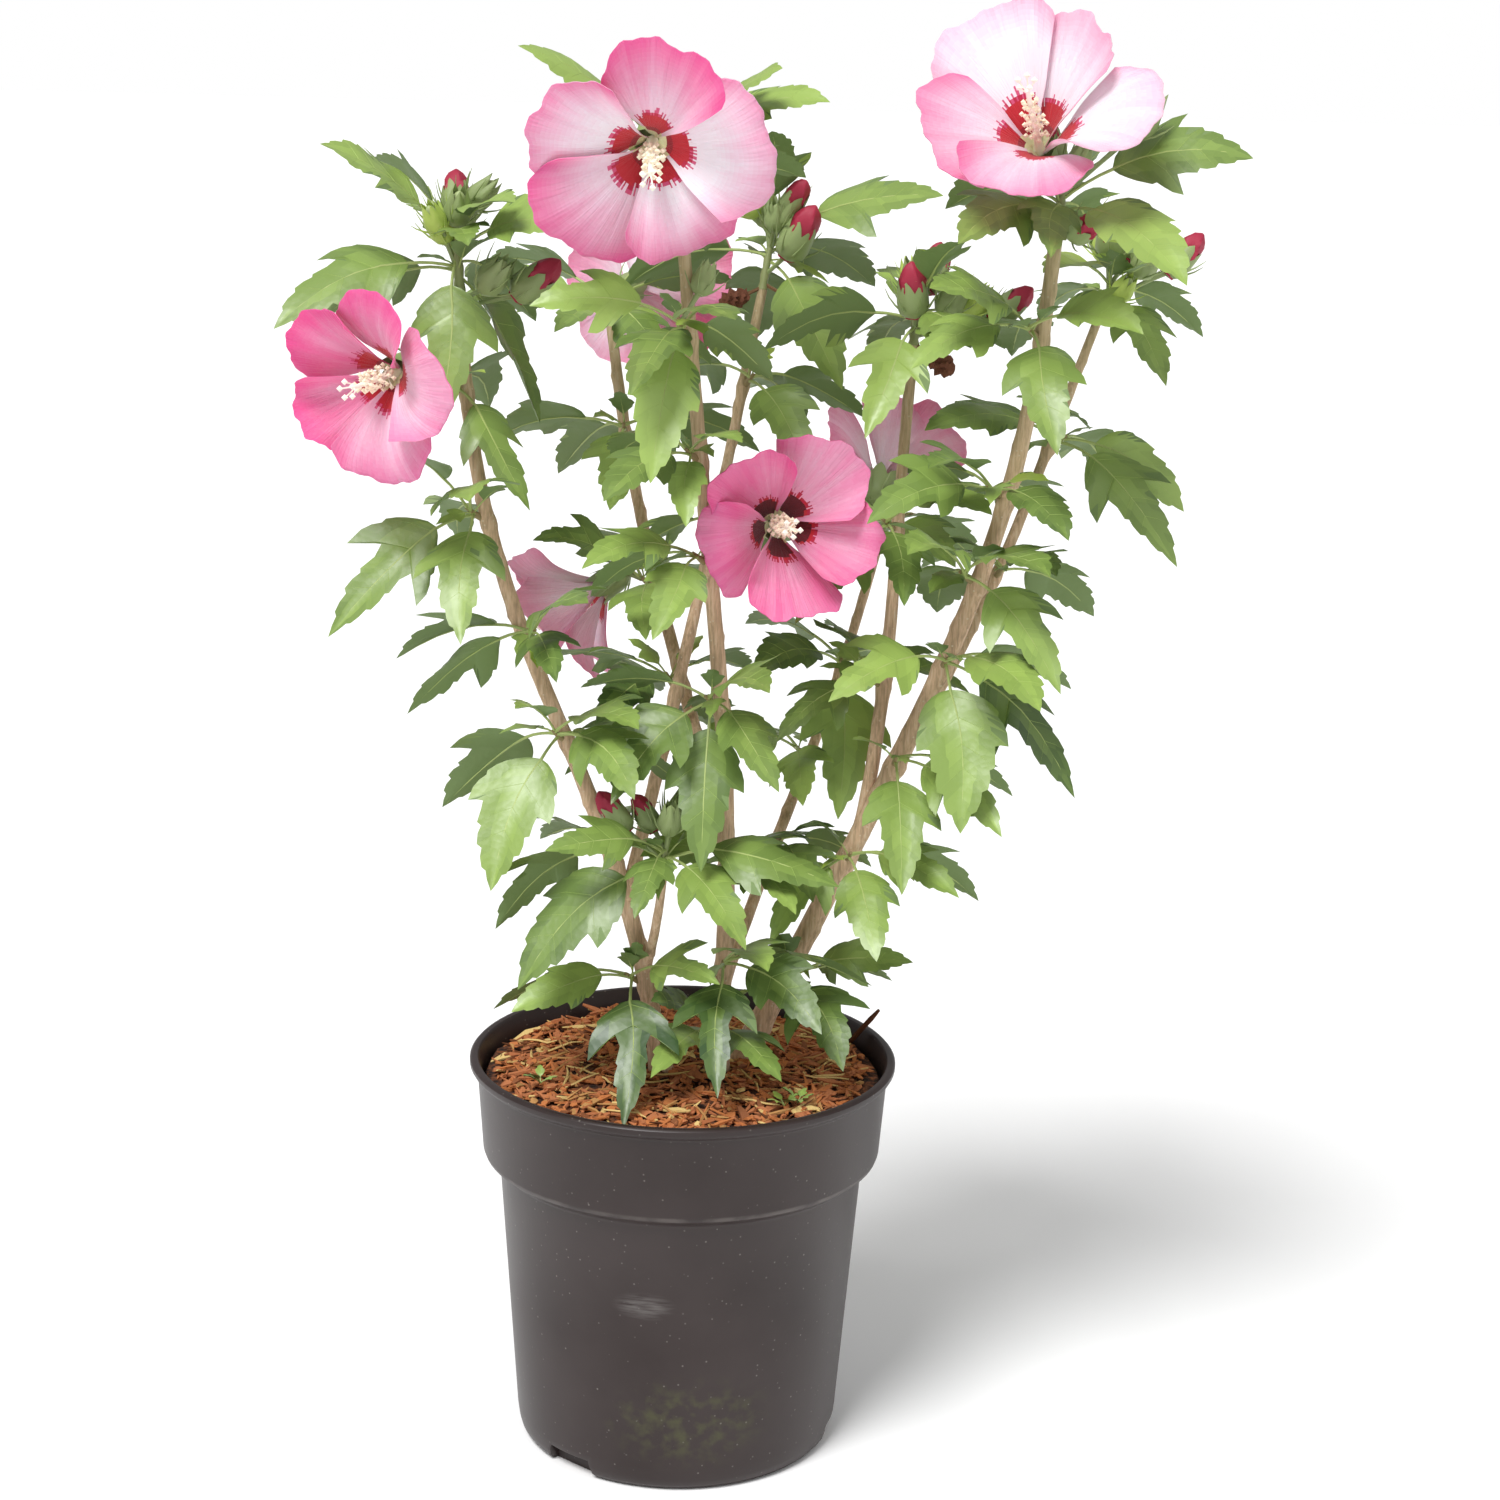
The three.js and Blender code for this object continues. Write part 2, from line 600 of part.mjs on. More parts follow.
// The twig of a spray: at a tip it goes on as the limb does, and elsewhere it leaves as its first leaf does.
function twigCurve({ limb, at, spur = SPUR_LENGTH, leaves, bloom }) {
  const curve = limbCurves.get(limb);
  const foot = curve.getPoint(at);
  if (at === 1) return new THREE.LineCurve3(foot, foot.clone().addScaledVector(curve.getTangent(1), spur));
  const aim = bloom ? calyxBase(bloom).sub(foot).normalize() : heading(leaves[0][0], TWIG_RISE);
  return new THREE.LineCurve3(foot, foot.clone().addScaledVector(aim, girthAt(limb, at) + spur));
}

// Leaf joints are spaced along the part of the twig that is outside its limb.
function leafJoint({ limb, at, leaves, spur = SPUR_LENGTH }, twig, index) {
  const inside = at === 1 ? 0 : girthAt(limb, at);
  const first = (inside + FIRST_JOINT * spur) / (inside + spur);
  return twig.getPoint(THREE.MathUtils.lerp(first, LAST_JOINT, index / Math.max(1, leaves.length - 1)));
}

const boxOf = (body) => {
  const { min, max } = body.boundingBox();
  return new THREE.Box3(vector(min), vector(max));
};

// Everything that leaves have to keep clear of, each with its box and the spray that it belongs to.
const settled = [];
const settle = (body, owner) => settled.push({ body, owner, box: boxOf(body) });
const touches = (body, others) => {
  const box = boxOf(body);
  return others.some((other) => other.box.intersectsBox(box) && !other.body.intersect(body).isEmpty());
};

const pot = potSolid();
const soil = soilSolid();
settle(pot, 'pot');
settle(soil, 'soil');
for (const limb of LIMBS) settle(limbRooms.get(limb.name), limb.name);

// Twigs, blooms and buds come first, so that the leaves find their places round them.
const masses = SPRAYS.map((spray, seed) => {
  const { name, limb, at, buds = 0, bloom } = spray;
  const twig = twigCurve(spray);
  const thick = at === 1 ? girthAt(limb, 1) : TWIG_RADIUS;
  const pieces = [bar(twig, (share) => thick * (1 - TWIG_TAPER * share), 4, 1)];
  if (bloom) {
    const end = calyxBase(bloom).addScaledVector(bloomFrame(bloom).axis, 2);
    pieces.push(bar(new THREE.LineCurve3(twig.getPoint(BLOOM_JOINT), end), () => BLOOM_STALK_RADIUS, 4, 1));
    pieces.push(...bloomSolids(bloom));
  }
  for (let index = 0; index < buds; index += 1) pieces.push(...budSolids(twig, seed, index));
  pieces.forEach((piece) => settle(piece, name));
  return { name, spray, seed, twig, pieces };
});

// A leaf is tried as drawn, then turned and raised a little, then shorter, and left out where nothing fits.
const NUDGES = [
  [0, 0], [9, 0], [-9, 0], [0, 10], [0, -10], [18, 6], [-18, 6], [18, -10], [-18, -10], [30, 0], [-30, 0],
];
const TRIES = [1, 0.84, 0.68].flatMap((scale) => NUDGES.map((nudge) => [...nudge, scale]));
const CLEARANCE = 0.45;

function leafSolids(mass, index) {
  const { spray, seed, twig, name } = mass;
  const [turn, rise, reach = LEAF_REACH] = spray.leaves[index];
  const joint = leafJoint(spray, twig, index);
  const lean = (turn < 0 ? 1 : -1) * LEAF_LEAN * Math.cos(degToRad(turn));
  const tilt = lean + LEAF_SWAY * chance(seed, index, 5);
  for (const neighbours of [settled, settled.filter(({ owner }) => owner !== name)]) {
    for (const [moreTurn, moreRise, scale] of TRIES) {
      const line = leafLine(joint, turn + moreTurn, rise + moreRise, reach * scale, tilt);
      if (touches(leafSolid(line, CLEARANCE), neighbours)) continue;
      const leaf = leafSolid(line);
      settle(leaf, name);
      return [leaf];
    }
  }
  return [];
}

for (const mass of masses) {
  mass.spray.leaves.forEach((_, index) => mass.pieces.push(...leafSolids(mass, index)));
}

// ---------------------------------------------------------------- the assembled shrub

const plastic = new THREE.MeshStandardMaterial({ color: '#3b3636', roughness: 0.45, metalness: 0 });
const compost = new THREE.MeshStandardMaterial({ color: '#8a4f2c', roughness: 0.95, metalness: 0 });
const bark = new THREE.MeshStandardMaterial({ color: '#a98a6c', roughness: 0.85, metalness: 0 });
const foliage = new THREE.MeshStandardMaterial({ color: '#5c8443', roughness: 0.55, metalness: 0 });
const flowering = new THREE.MeshStandardMaterial({ color: '#e77fb4', roughness: 0.6, metalness: 0 });

const shrub = new THREE.Group();
shrub.add(named('pot', pot, plastic), named('soil', soil, compost));
for (const [name, body] of limbSolids) shrub.add(named(name, body, bark));
for (const { name, spray, pieces } of masses) {
  const cut = wholeOf(join(pieces).subtract(limbRooms.get(spray.limb)));
  shrub.add(named(name, cut, spray.bloom ? flowering : foliage));
}

export default shrub;
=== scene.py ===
"""A hardy hibiscus shrub in bloom, standing in its round nursery pot.

Lengths are in millimetres until a mesh is made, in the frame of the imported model: +Z is up, the origin is the
centre of the pot's underside, and the shrub's front faces -Y. A turn is an angle round Z from +X, and a rise
is an angle above the level, both in degrees.
"""

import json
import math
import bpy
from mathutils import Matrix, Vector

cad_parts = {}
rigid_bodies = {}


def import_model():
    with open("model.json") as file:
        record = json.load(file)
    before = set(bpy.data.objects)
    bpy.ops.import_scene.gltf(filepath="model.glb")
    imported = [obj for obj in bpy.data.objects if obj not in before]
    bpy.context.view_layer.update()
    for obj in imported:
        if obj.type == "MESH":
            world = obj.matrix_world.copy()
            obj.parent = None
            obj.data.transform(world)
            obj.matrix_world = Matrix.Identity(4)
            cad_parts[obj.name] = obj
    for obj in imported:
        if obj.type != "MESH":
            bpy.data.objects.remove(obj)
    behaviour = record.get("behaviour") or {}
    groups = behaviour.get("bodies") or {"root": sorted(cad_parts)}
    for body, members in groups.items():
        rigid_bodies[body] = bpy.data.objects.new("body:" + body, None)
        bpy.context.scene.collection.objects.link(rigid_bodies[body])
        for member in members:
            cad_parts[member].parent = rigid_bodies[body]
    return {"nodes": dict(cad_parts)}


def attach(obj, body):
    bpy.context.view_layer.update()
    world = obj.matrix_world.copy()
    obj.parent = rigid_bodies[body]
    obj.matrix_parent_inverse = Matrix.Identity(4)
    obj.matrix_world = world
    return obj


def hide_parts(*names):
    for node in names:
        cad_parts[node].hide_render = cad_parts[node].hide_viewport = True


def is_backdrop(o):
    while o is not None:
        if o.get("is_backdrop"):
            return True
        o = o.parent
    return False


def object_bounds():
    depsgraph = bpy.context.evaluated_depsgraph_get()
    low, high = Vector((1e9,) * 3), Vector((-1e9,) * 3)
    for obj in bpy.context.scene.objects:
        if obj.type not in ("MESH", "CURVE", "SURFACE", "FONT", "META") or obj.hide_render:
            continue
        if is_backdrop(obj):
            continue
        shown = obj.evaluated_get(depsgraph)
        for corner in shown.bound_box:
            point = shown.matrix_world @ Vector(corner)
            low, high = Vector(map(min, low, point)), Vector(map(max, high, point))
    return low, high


bl_info = {
    "name": "Potted Hibiscus",
    "version": (1, 0, 0),
    "blender": (4, 5, 0),
    "location": "View3D > Sidebar > Hibiscus",
    "description": "Grows a flowering hibiscus shrub in its nursery pot, piece by piece",
    "category": "Add Mesh",
}

import bpy
import numpy as np
from bpy.props import FloatProperty, FloatVectorProperty, IntProperty, PointerProperty
from mathutils import Matrix, Vector, kdtree, noise
from mathutils.bvhtree import BVHTree

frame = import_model()

MM = 0.001
UP = np.array([0.0, 0.0, 1.0])

# ------------------------------------------------------------------ the shrub's limbs and sprays

SOIL_TOP = 171
SEED = 1873
GOLDEN_TURN = 137.5

# A limb runs from its foot to its tip. It is bowed once along X and Y, and swayed both ways along X.
# A bough's foot is the point a given share of the way up its parent.
LIMBS = {
    "left_stem": dict(foot=(-9, -15, SOIL_TOP), tip=(-98, -20, 506), bow=(-4, -6), sway=8, girth=(4, 2.7)),
    "centre_stem": dict(foot=(15, -9, SOIL_TOP), tip=(-6, -40, 535), bow=(8, -4), sway=2, girth=(4, 2.6)),
    "right_stem": dict(foot=(26, 8, SOIL_TOP), tip=(145, -35, 545), bow=(22, 0), sway=-4, girth=(5.2, 2.8)),
    "left_shoot": dict(
        parent="left_stem", at=0.15, tip=(-10, -40, 272), bow=(1, -3), sway=0, girth=(2.2, 1.8)),
    "middle_bough": dict(
        parent="left_stem", at=0.25, tip=(28, 45, 513), bow=(2, 0), sway=0, girth=(3, 2.1)),
    "back_left_bough": dict(
        parent="centre_stem", at=0.29, tip=(-38, 60, 495), bow=(-6, 18), sway=1, girth=(3.1, 2.3)),
    "low_right_bough": dict(
        parent="centre_stem", at=0.12, tip=(84, 60, 402), bow=(3, 4), sway=-1, girth=(2.7, 2)),
    "inner_right_bough": dict(
        parent="right_stem", at=0.3, tip=(92, 10, 494), bow=(3, 2), sway=1, girth=(3.1, 2.3)),
    "outer_right_bough": dict(
        parent="right_stem", at=0.37, tip=(177, 50, 507), bow=(7, 4), sway=1, girth=(2.9, 2)),
}
ROOT_FLARE = 0.7  # extra girth at the soil, as a share
FLARE_HEIGHT = 0.03  # share of the stem over which the flare dies away

# A spray stands on its limb, at a share of the limb's height (1 is the tip).
# Each leaf is (turn, rise of its tip seen from its joint, reach if not the usual one), lowest joint first.
# A bloom is its heart (where the petals meet), the way it faces, its petals' length and how far they open.
SPRAYS = [
    dict(name="left_crown", limb="left_stem", at=1, spur=36, buds=5, leaves=[
        (-20, -40, 72), (160, -20), (-160, -18, 80), (60, -25), (-110, -68, 84), (-38, 12, 70),
        (-160, 32, 72), (100, 5), (-95, 10, 50), (-82, 30, 55), (150, 35, 50)]),
    dict(name="left_bloom", limb="left_stem", at=0.9, leaves=[(-35, -50, 62), (50, -15), (135, -25)],
         bloom=dict(heart=(-121, -47, 484), turn=-120, rise=-8, petal=47, open=66, roll=20)),
    dict(name="left_upper", limb="left_stem", at=0.74,
         leaves=[(-160, -38, 80), (-92, -45), (100, -20), (-48, 8), (-100, 15, 58)]),
    dict(name="left_middle", limb="left_stem", at=0.59,
         leaves=[(-65, 22), (-75, -12, 50), (130, -15), (175, -35)]),
    dict(name="left_lower", limb="left_stem", at=0.46,
         leaves=[(-125, -52, 74), (5, -25), (-58, -12), (150, -35, 72), (-112, 25, 44), (-50, 12, 58)]),
    dict(name="left_back", limb="left_stem", at=0.3, leaves=[(120, -10), (165, -40), (70, 5, 54)]),
    dict(name="left_foot", limb="left_stem", at=0.13,
         leaves=[(-155, -8, 58), (-92, -42, 74), (-45, 10, 56), (165, -20)]),
    dict(name="shoot_crown", limb="left_shoot", at=1, spur=14, buds=2,
         leaves=[(-160, -38, 82), (-14, -4, 76), (-52, -26, 62), (-150, 8, 58), (-100, -30, 44)]),
    dict(name="centre_crown", limb="centre_stem", at=1, spur=42,
         leaves=[(80, -20), (-150, 4, 56), (30, 5, 60), (150, -5, 58),
                 (-158, 36, 84), (-40, 38, 66), (110, 30, 56), (-15, 20, 66)],
         bloom=dict(heart=(-19, -68, 578), turn=-90, rise=-20, petal=55, open=88, roll=8)),
    dict(name="centre_neck", limb="centre_stem", at=0.9, spur=14,
         leaves=[(-112, -22, 58), (-70, 8, 60), (-108, -58, 70), (-172, 6, 62), (95, -35), (30, -30, 52)]),
    dict(name="centre_high", limb="centre_stem", at=0.76,
         leaves=[(-130, -14, 56), (-100, -30, 44), (-62, 12, 46), (120, -10)]),
    dict(name="centre_upper", limb="centre_stem", at=0.64,
         leaves=[(-138, 2, 64), (-112, -30, 54), (150, -25, 56)]),
    dict(name="centre_middle", limb="centre_stem", at=0.47,
         leaves=[(-135, -32, 64), (-95, -62, 74), (-55, -30, 58), (100, -25), (-62, 14, 54), (165, 0, 56)]),
    dict(name="centre_lower", limb="centre_stem", at=0.27,
         leaves=[(-60, -10, 52), (-140, 5, 50), (60, 0, 54)]),
    dict(name="centre_foot", limb="centre_stem", at=0.14,
         leaves=[(-92, -38, 68), (-48, -14, 64), (-72, 14, 60), (15, -12)]),
    dict(name="centre_base", limb="centre_stem", at=0.05,
         leaves=[(-118, -4, 56), (-78, 6, 60), (-140, 26, 44)]),
    dict(name="back_left_crown", limb="back_left_bough", at=1, spur=12,
         leaves=[(-175, 5), (-112, -5, 58), (-60, -20, 56), (150, 15), (35, 0, 60), (10, 35, 54)],
         bloom=dict(heart=(-30, 80, 510), turn=72, rise=4, petal=50, open=82, roll=0)),
    dict(name="back_left_upper", limb="back_left_bough", at=0.78,
         leaves=[(-95, -28, 60), (170, -10), (100, -30), (20, -12)]),
    dict(name="back_left_bloom", limb="back_left_bough", at=0.48,
         leaves=[(-80, -15, 58), (60, -12), (115, 10), (-165, 20, 52)],
         bloom=dict(heart=(-40, 47, 380), turn=168, rise=-38, petal=48, open=58, roll=10)),
    dict(name="back_left_lower", limb="back_left_bough", at=0.2,
         leaves=[(155, -25), (80, -8, 58), (30, -15, 52)]),
    dict(name="middle_crown", limb="middle_bough", at=1, spur=26, buds=4,
         leaves=[(110, -30), (-42, -50, 68), (170, -10), (40, -15), (-18, 18, 80), (100, 25), (-78, 45, 58)]),
    dict(name="middle_upper", limb="middle_bough", at=0.84,
         leaves=[(-62, -32, 62), (75, -25), (135, -8), (10, -20, 58)]),
    dict(name="middle_bloom", limb="middle_bough", at=0.63, leaves=[(170, -30, 58)],
         bloom=dict(heart=(34, -22, 421), turn=-80, rise=6, petal=51, open=58, roll=36)),
    dict(name="middle_lower", limb="middle_bough", at=0.34,
         leaves=[(120, -20), (60, -5, 58), (170, 5, 54), (-120, -20, 50)]),
    dict(name="low_right_crown", limb="low_right_bough", at=1, spur=10,
         leaves=[(150, -15), (40, -20), (-60, -10, 58), (100, -30), (0, 12, 56)],
         bloom=dict(heart=(84, 67, 428), turn=70, rise=38, petal=40, open=52, roll=0)),
    dict(name="low_right_upper", limb="low_right_bough", at=0.7,
         leaves=[(-92, -55, 74), (-128, 4, 64), (-58, -12, 60), (60, -12), (130, 5)]),
    dict(name="low_right_middle", limb="low_right_bough", at=0.5,
         leaves=[(-138, 10, 62), (110, -10), (-70, -20, 54)]),
    dict(name="low_right_lower", limb="low_right_bough", at=0.3, leaves=[(-75, -12, 56), (5, -5, 54)]),
    dict(name="inner_crown", limb="inner_right_bough", at=1, spur=18, buds=4,
         leaves=[(-118, -42, 64), (100, -20), (165, -18), (-60, -5, 52), (30, -22, 56), (-96, 46, 56),
                 (60, 30, 50)]),
    dict(name="inner_middle", limb="inner_right_bough", at=0.62,
         leaves=[(-138, -34, 66), (-85, -28, 56), (90, -20), (-128, 12, 62), (-48, 10, 62), (160, -10, 58)]),
    dict(name="inner_lower", limb="inner_right_bough", at=0.3, leaves=[(-150, -25, 54), (110, 15, 52)]),
    dict(name="right_crown", limb="right_stem", at=1, spur=16, buds=2,
         leaves=[(-132, -8, 68), (-35, -28, 84), (70, -15), (-108, -22, 56), (130, -5), (-14, 14, 78),
                 (40, 30, 54)],
         bloom=dict(heart=(136, -40, 577), turn=-109, rise=40, petal=60, open=70, roll=30)),
    dict(name="right_neck", limb="right_stem", at=0.88,
         leaves=[(-138, 18, 66), (-82, -42, 66), (90, -15), (-150, -14, 60), (-45, 2, 58)]),
    dict(name="right_upper", limb="right_stem", at=0.7,
         leaves=[(-148, -8, 66), (-60, -14, 54), (60, -28), (-122, 14, 60), (130, -5, 58)]),
    dict(name="right_middle", limb="right_stem", at=0.6,
         leaves=[(-142, 6, 72), (-45, -38, 68), (95, -15), (-60, 8, 62)]),
    dict(name="right_lower", limb="right_stem", at=0.5,
         leaves=[(-82, -58, 76), (-36, -44, 80), (25, -15), (-145, -10, 64), (-50, -8, 66)]),
    dict(name="right_fork", limb="right_stem", at=0.38,
         leaves=[(-88, -48, 64), (-42, -22, 62), (15, -20, 58)]),
    dict(name="right_low", limb="right_stem", at=0.26,
         leaves=[(-78, -32, 60), (-130, -30, 56), (15, -22), (-30, -12, 54)]),
    dict(name="right_base", limb="right_stem", at=0.1, leaves=[(-66, -22, 62), (-12, 10, 56), (30, -10, 56)]),
    dict(name="outer_crown", limb="outer_right_bough", at=1, spur=14, buds=4,
         leaves=[(-75, -28, 62), (110, -15), (-40, 2, 58), (10, -20, 52), (-125, 8, 64), (60, 20, 56)]),
    dict(name="outer_upper", limb="outer_right_bough", at=0.7,
         leaves=[(-42, -36, 80), (-150, 6, 72), (60, -22), (-12, -28, 62), (-112, 16, 64), (125, -10)]),
    dict(name="outer_lower", limb="outer_right_bough", at=0.42,
         leaves=[(-72, 8, 58), (30, -25, 58), (100, -15), (150, 5, 56)]),
]

SPUR_LENGTH = 9  # of a spray's twig, outside its limb
TWIG_RISE = 35
NEAR_TIP = 0.9999  # share of a limb from which its direction at the tip is taken
FIRST_JOINT = 0.42  # shares of the spur at its lowest and its highest leaf
LAST_JOINT = 0.88
LEAF_REACH = 66  # from joint to tip, stalk and blade together
STALK_SHARE = 0.29  # part of a leaf's reach that is stalk
LEAF_ARCH = 0.25  # rise of the arching midrib, as a share of the reach
LEAF_CREST = 0.45  # where it arches most, as a share of the reach
LEAF_LEAN = 38  # how far a leaf that points sideways turns its face to the front, or to the back
LEAF_SWAY = 14  # and how far chance turns it either way
# A leaf tries these turns, rises and scales one after another until it is clear of the limbs. The packed
# solid tells which one it took.
NUDGES = [
    (0, 0), (9, 0), (-9, 0), (0, 10), (0, -10), (18, 6), (-18, 6), (18, -10), (-18, -10), (30, 0), (-30, 0),
]
TRIES = [(*nudge, scale) for scale in (1, 0.84, 0.68) for nudge in NUDGES]
TIP_FOUND = 0.6  # how near a leaf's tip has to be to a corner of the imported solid

PETALS = 5
THROAT_RADIUS = 2.5
THROAT_LEAN = 36  # angle between a petal's claw and the bloom's axis
CALYX_LENGTH = 14
COLUMN_LENGTH = 34


WORD = 2**32
KEY_SHIFT = 40503  # this and the next two are the constants of a well-tried integer hash
FIRST_FACTOR = 2246822507
SECOND_FACTOR = 3266489909


def chance(*keys):
    """The same number from -1 to 1 for the same whole-number keys. The last says what it is drawn for."""
    value = SEED
    for key in keys:
        value = (value ^ (key + KEY_SHIFT)) * FIRST_FACTOR % WORD
        value ^= value >> 13
        value = value * SECOND_FACTOR % WORD
        value ^= value >> 16
    return value / (WORD / 2) - 1


def share_of(*keys):
    """The same number from 0 to 1 for the same whole-number keys."""
    return (chance(*keys) + 1) / 2


def unit(vector):
    """The vector of length 1 that points the same way."""
    return vector / np.linalg.norm(vector)


def heading(turn, rise):
    """The unit vector of a turn and a rise."""
    turn, rise = math.radians(turn), math.radians(rise)
    return np.array([math.cos(rise) * math.cos(turn), math.cos(rise) * math.sin(turn), math.sin(rise)])


def limb_point(name, share):
    """The middle of a limb at a share of the way from its foot to its tip."""
    limb = LIMBS[name]
    foot = limb_point(limb["parent"], limb["at"]) if "parent" in limb else np.array(limb["foot"], float)
    point = foot + (np.array(limb["tip"]) - foot) * share
    arch, wave = math.sin(math.pi * share), math.sin(2 * math.pi * share)
    return point + [limb["bow"][0] * arch + limb["sway"] * wave, limb["bow"][1] * arch, 0]


def girth_at(name, share):
    """The radius of a limb, which flares at the foot of a stem."""
    low, high = LIMBS[name]["girth"]
    flare = 0 if "parent" in LIMBS[name] else ROOT_FLARE * math.exp(-share / FLARE_HEIGHT)
    return (low + (high - low) * share) * (1 + flare)


def bloom_axis(bloom):
    """The way a bloom faces."""
    return heading(bloom["turn"], bloom["rise"])


def calyx_base(bloom):
    """Where a bloom's calyx joins its stalk."""
    return np.array(bloom["heart"]) - bloom_axis(bloom) * CALYX_LENGTH


def twig_ends(spray):
    """Foot and tip of a spray's twig.

    At its limb's tip it goes on as the limb does. Elsewhere it makes for its bloom, or goes the way of its
    first leaf.
    """
    limb, at = spray["limb"], spray["at"]
    spur = spray.get("spur", SPUR_LENGTH)
    foot = limb_point(limb, at)
    if at == 1:
        return foot, foot + unit(foot - limb_point(limb, NEAR_TIP)) * spur
    first_turn = spray["leaves"][0][0]
    aim = unit(calyx_base(spray["bloom"]) - foot) if "bloom" in spray else heading(first_turn, TWIG_RISE)
    return foot, foot + aim * (girth_at(limb, at) + spur)


def leaf_joint(spray, index):
    """Leaf joints are spaced along the part of the twig that is outside its limb."""
    foot, tip = twig_ends(spray)
    inside = 0 if spray["at"] == 1 else girth_at(spray["limb"], spray["at"])
    spur = spray.get("spur", SPUR_LENGTH)
    first = (inside + FIRST_JOINT * spur) / (inside + spur)
    last = max(1, len(spray["leaves"]) - 1)
    return foot + (tip - foot) * (first + (LAST_JOINT - first) * index / last)


class LeafLine:
    """The arching midrib of a leaf from its joint to its tip, and the line across it."""

    def __init__(self, joint, turn, rise, reach, tilt):
        self.joint, self.reach, self.tilt = joint, reach, math.radians(tilt)
        self.tip = joint + heading(turn, rise) * reach
        self.crest = joint + (self.tip - joint) * LEAF_CREST + UP * LEAF_ARCH * reach
        self.across = np.cross(UP, heading(turn, 0))

    def frames(self, shares):
        """Points, sideways and upward unit vectors at shares of the reach."""
        s = np.asarray(shares, float)[:, None]
        points = (1 - s) ** 2 * self.joint + 2 * s * (1 - s) * self.crest + s**2 * self.tip
        along = (1 - s) * (self.crest - self.joint) + s * (self.tip - self.crest)
        along /= np.linalg.norm(along, axis=1, keepdims=True)
        side = self.across * math.cos(self.tilt) + np.cross(along, self.across) * math.sin(self.tilt)
        return points, side, np.cross(along, side)


def grown_leaves():
    """The course of every leaf of the sprays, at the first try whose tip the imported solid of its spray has.

    A course is a leaf's joint, turn, rise, reach and tilt.
    """
    courses = []
    for seed, spray in enumerate(SPRAYS):
        corners = frame["nodes"][spray["name"]].data.vertices
        tree = kdtree.KDTree(len(corners))
        for index, corner in enumerate(corners):
            tree.insert(corner.co / MM, index)
        tree.balance()
        for index, row in enumerate(spray["leaves"]):
            turn, rise, reach = row if len(row) == 3 else (*row, LEAF_REACH)
            joint = leaf_joint(spray, index)
            lean = (1 if turn < 0 else -1) * LEAF_LEAN * math.cos(math.radians(turn))
            tilt = lean + LEAF_SWAY * chance(seed, index, 5)
            for more_turn, more_rise, scale in TRIES:
                course = (joint, turn + more_turn, rise + more_rise, reach * scale, tilt)
                if tree.find(Vector(LeafLine(*course).tip))[2] < TIP_FOUND:
                    courses.append((course, seed, index))
                    break
    return courses


# ------------------------------------------------------------------ sizes and colours to set in the panel


def linear(colour):
    """A linear RGB triple from an sRGB hex value."""
    parts = [int(colour[start : start + 2], 16) / 255 for start in (1, 3, 5)]
    return tuple(part / 12.92 if part <= 0.04045 else ((part + 0.055) / 1.055) ** 2.4 for part in parts)


def size_property(name, description, default):
    """A length for the panel, given in millimetres."""
    return FloatProperty(
        name=name, description=description, default=default * MM, unit="LENGTH", subtype="DISTANCE"
    )


def colour_property(name, description, colour):
    """A colour for the panel, given as an sRGB hex value."""
    return FloatVectorProperty(
        name=name, description=description, default=linear(colour), size=3, min=0, max=1, subtype="COLOR"
    )


class ShrubSizes(bpy.types.PropertyGroup):
    """Sizes of the shrub's finer parts."""

    leaf_thickness: size_property("Leaf thickness", "Thickness of a leaf blade", 0.45)
    leaf_fold: FloatProperty(
        name="Leaf fold", description="How far the halves of a blade rise, as a share", default=0.3
    )
    petal_thickness: size_property("Petal thickness", "Thickness of a petal", 0.5)
    petal_ruffle: size_property("Petal ruffle", "Height of the waves along a petal's edge", 2.4)
    bark_relief: size_property("Bark relief", "Depth of the ridges along the stems", 0.22)
    chip_count: IntProperty(name="Mulch chips", description="Number of bark chips on the soil", default=2600)
    pot_sides: IntProperty(name="Pot sides", description="Number of facets round the pot", default=96)


class ShrubColours(bpy.types.PropertyGroup):
    """Base colours of the shrub, its soil and its pot."""

    # The old and the full-grown greens stand partly for age and partly for painted shade and painted light,
    # spread by height in the shrub.
    leaf_dark: colour_property("Old leaf", "Shaded older leaves", "#2D4A1B")
    leaf_bright: colour_property("Full-grown leaf", "Leaves in full light", "#98B358")
    leaf_young: colour_property("Young leaf", "New leaves at the tips", "#ADC248")
    leaf_under: colour_property("Leaf underside", "Paler underside of the leaves", "#6C8449")
    leaf_vein: colour_property("Leaf vein", "Midribs, side veins and stalks", "#A5B56C")
    petal_pale: colour_property("Palest petal", "Petal round the eye", "#FBE6F2")
    petal_deep: colour_property("Deepest petal", "Petal at its margin", "#E14C8C")
    petal_eye: colour_property("Petal eye", "Crimson blotch at the petal's foot", "#BE2430")
    stamen: colour_property("Stamens", "Column, anthers and stigmas", "#FFFAEA")
    calyx: colour_property("Calyx", "Green cup and sepals of buds and blooms", "#8F9F68")
    bark: colour_property("Bark", "Bark of the stems", "#D6B594")
    mulch: colour_property("Mulch", "Most of the bark chips", "#B8744C")
    pot: colour_property("Pot", "Moulded plastic of the pot", "#2A1B19")
    floor: colour_property("Floor", "Plain pale floor", "#FEFEFE")


# ------------------------------------------------------------------ building helpers


def clear_selection():
    """Deselects everything, which a new primitive or an operator would otherwise act on too."""
    bpy.ops.object.select_all(action="DESELECT")


def make_active(piece):
    """Selects one piece alone, for the next operator to act on."""
    clear_selection()
    piece.select_set(True)
    bpy.context.view_layer.objects.active = piece


def finish_piece(piece, slot, *nodes):
    """Lets a piece ride with the shrub and stand for the nodes it replaces. The slot is not used."""
    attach(piece, "root")
    if nodes:
        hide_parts(*nodes)


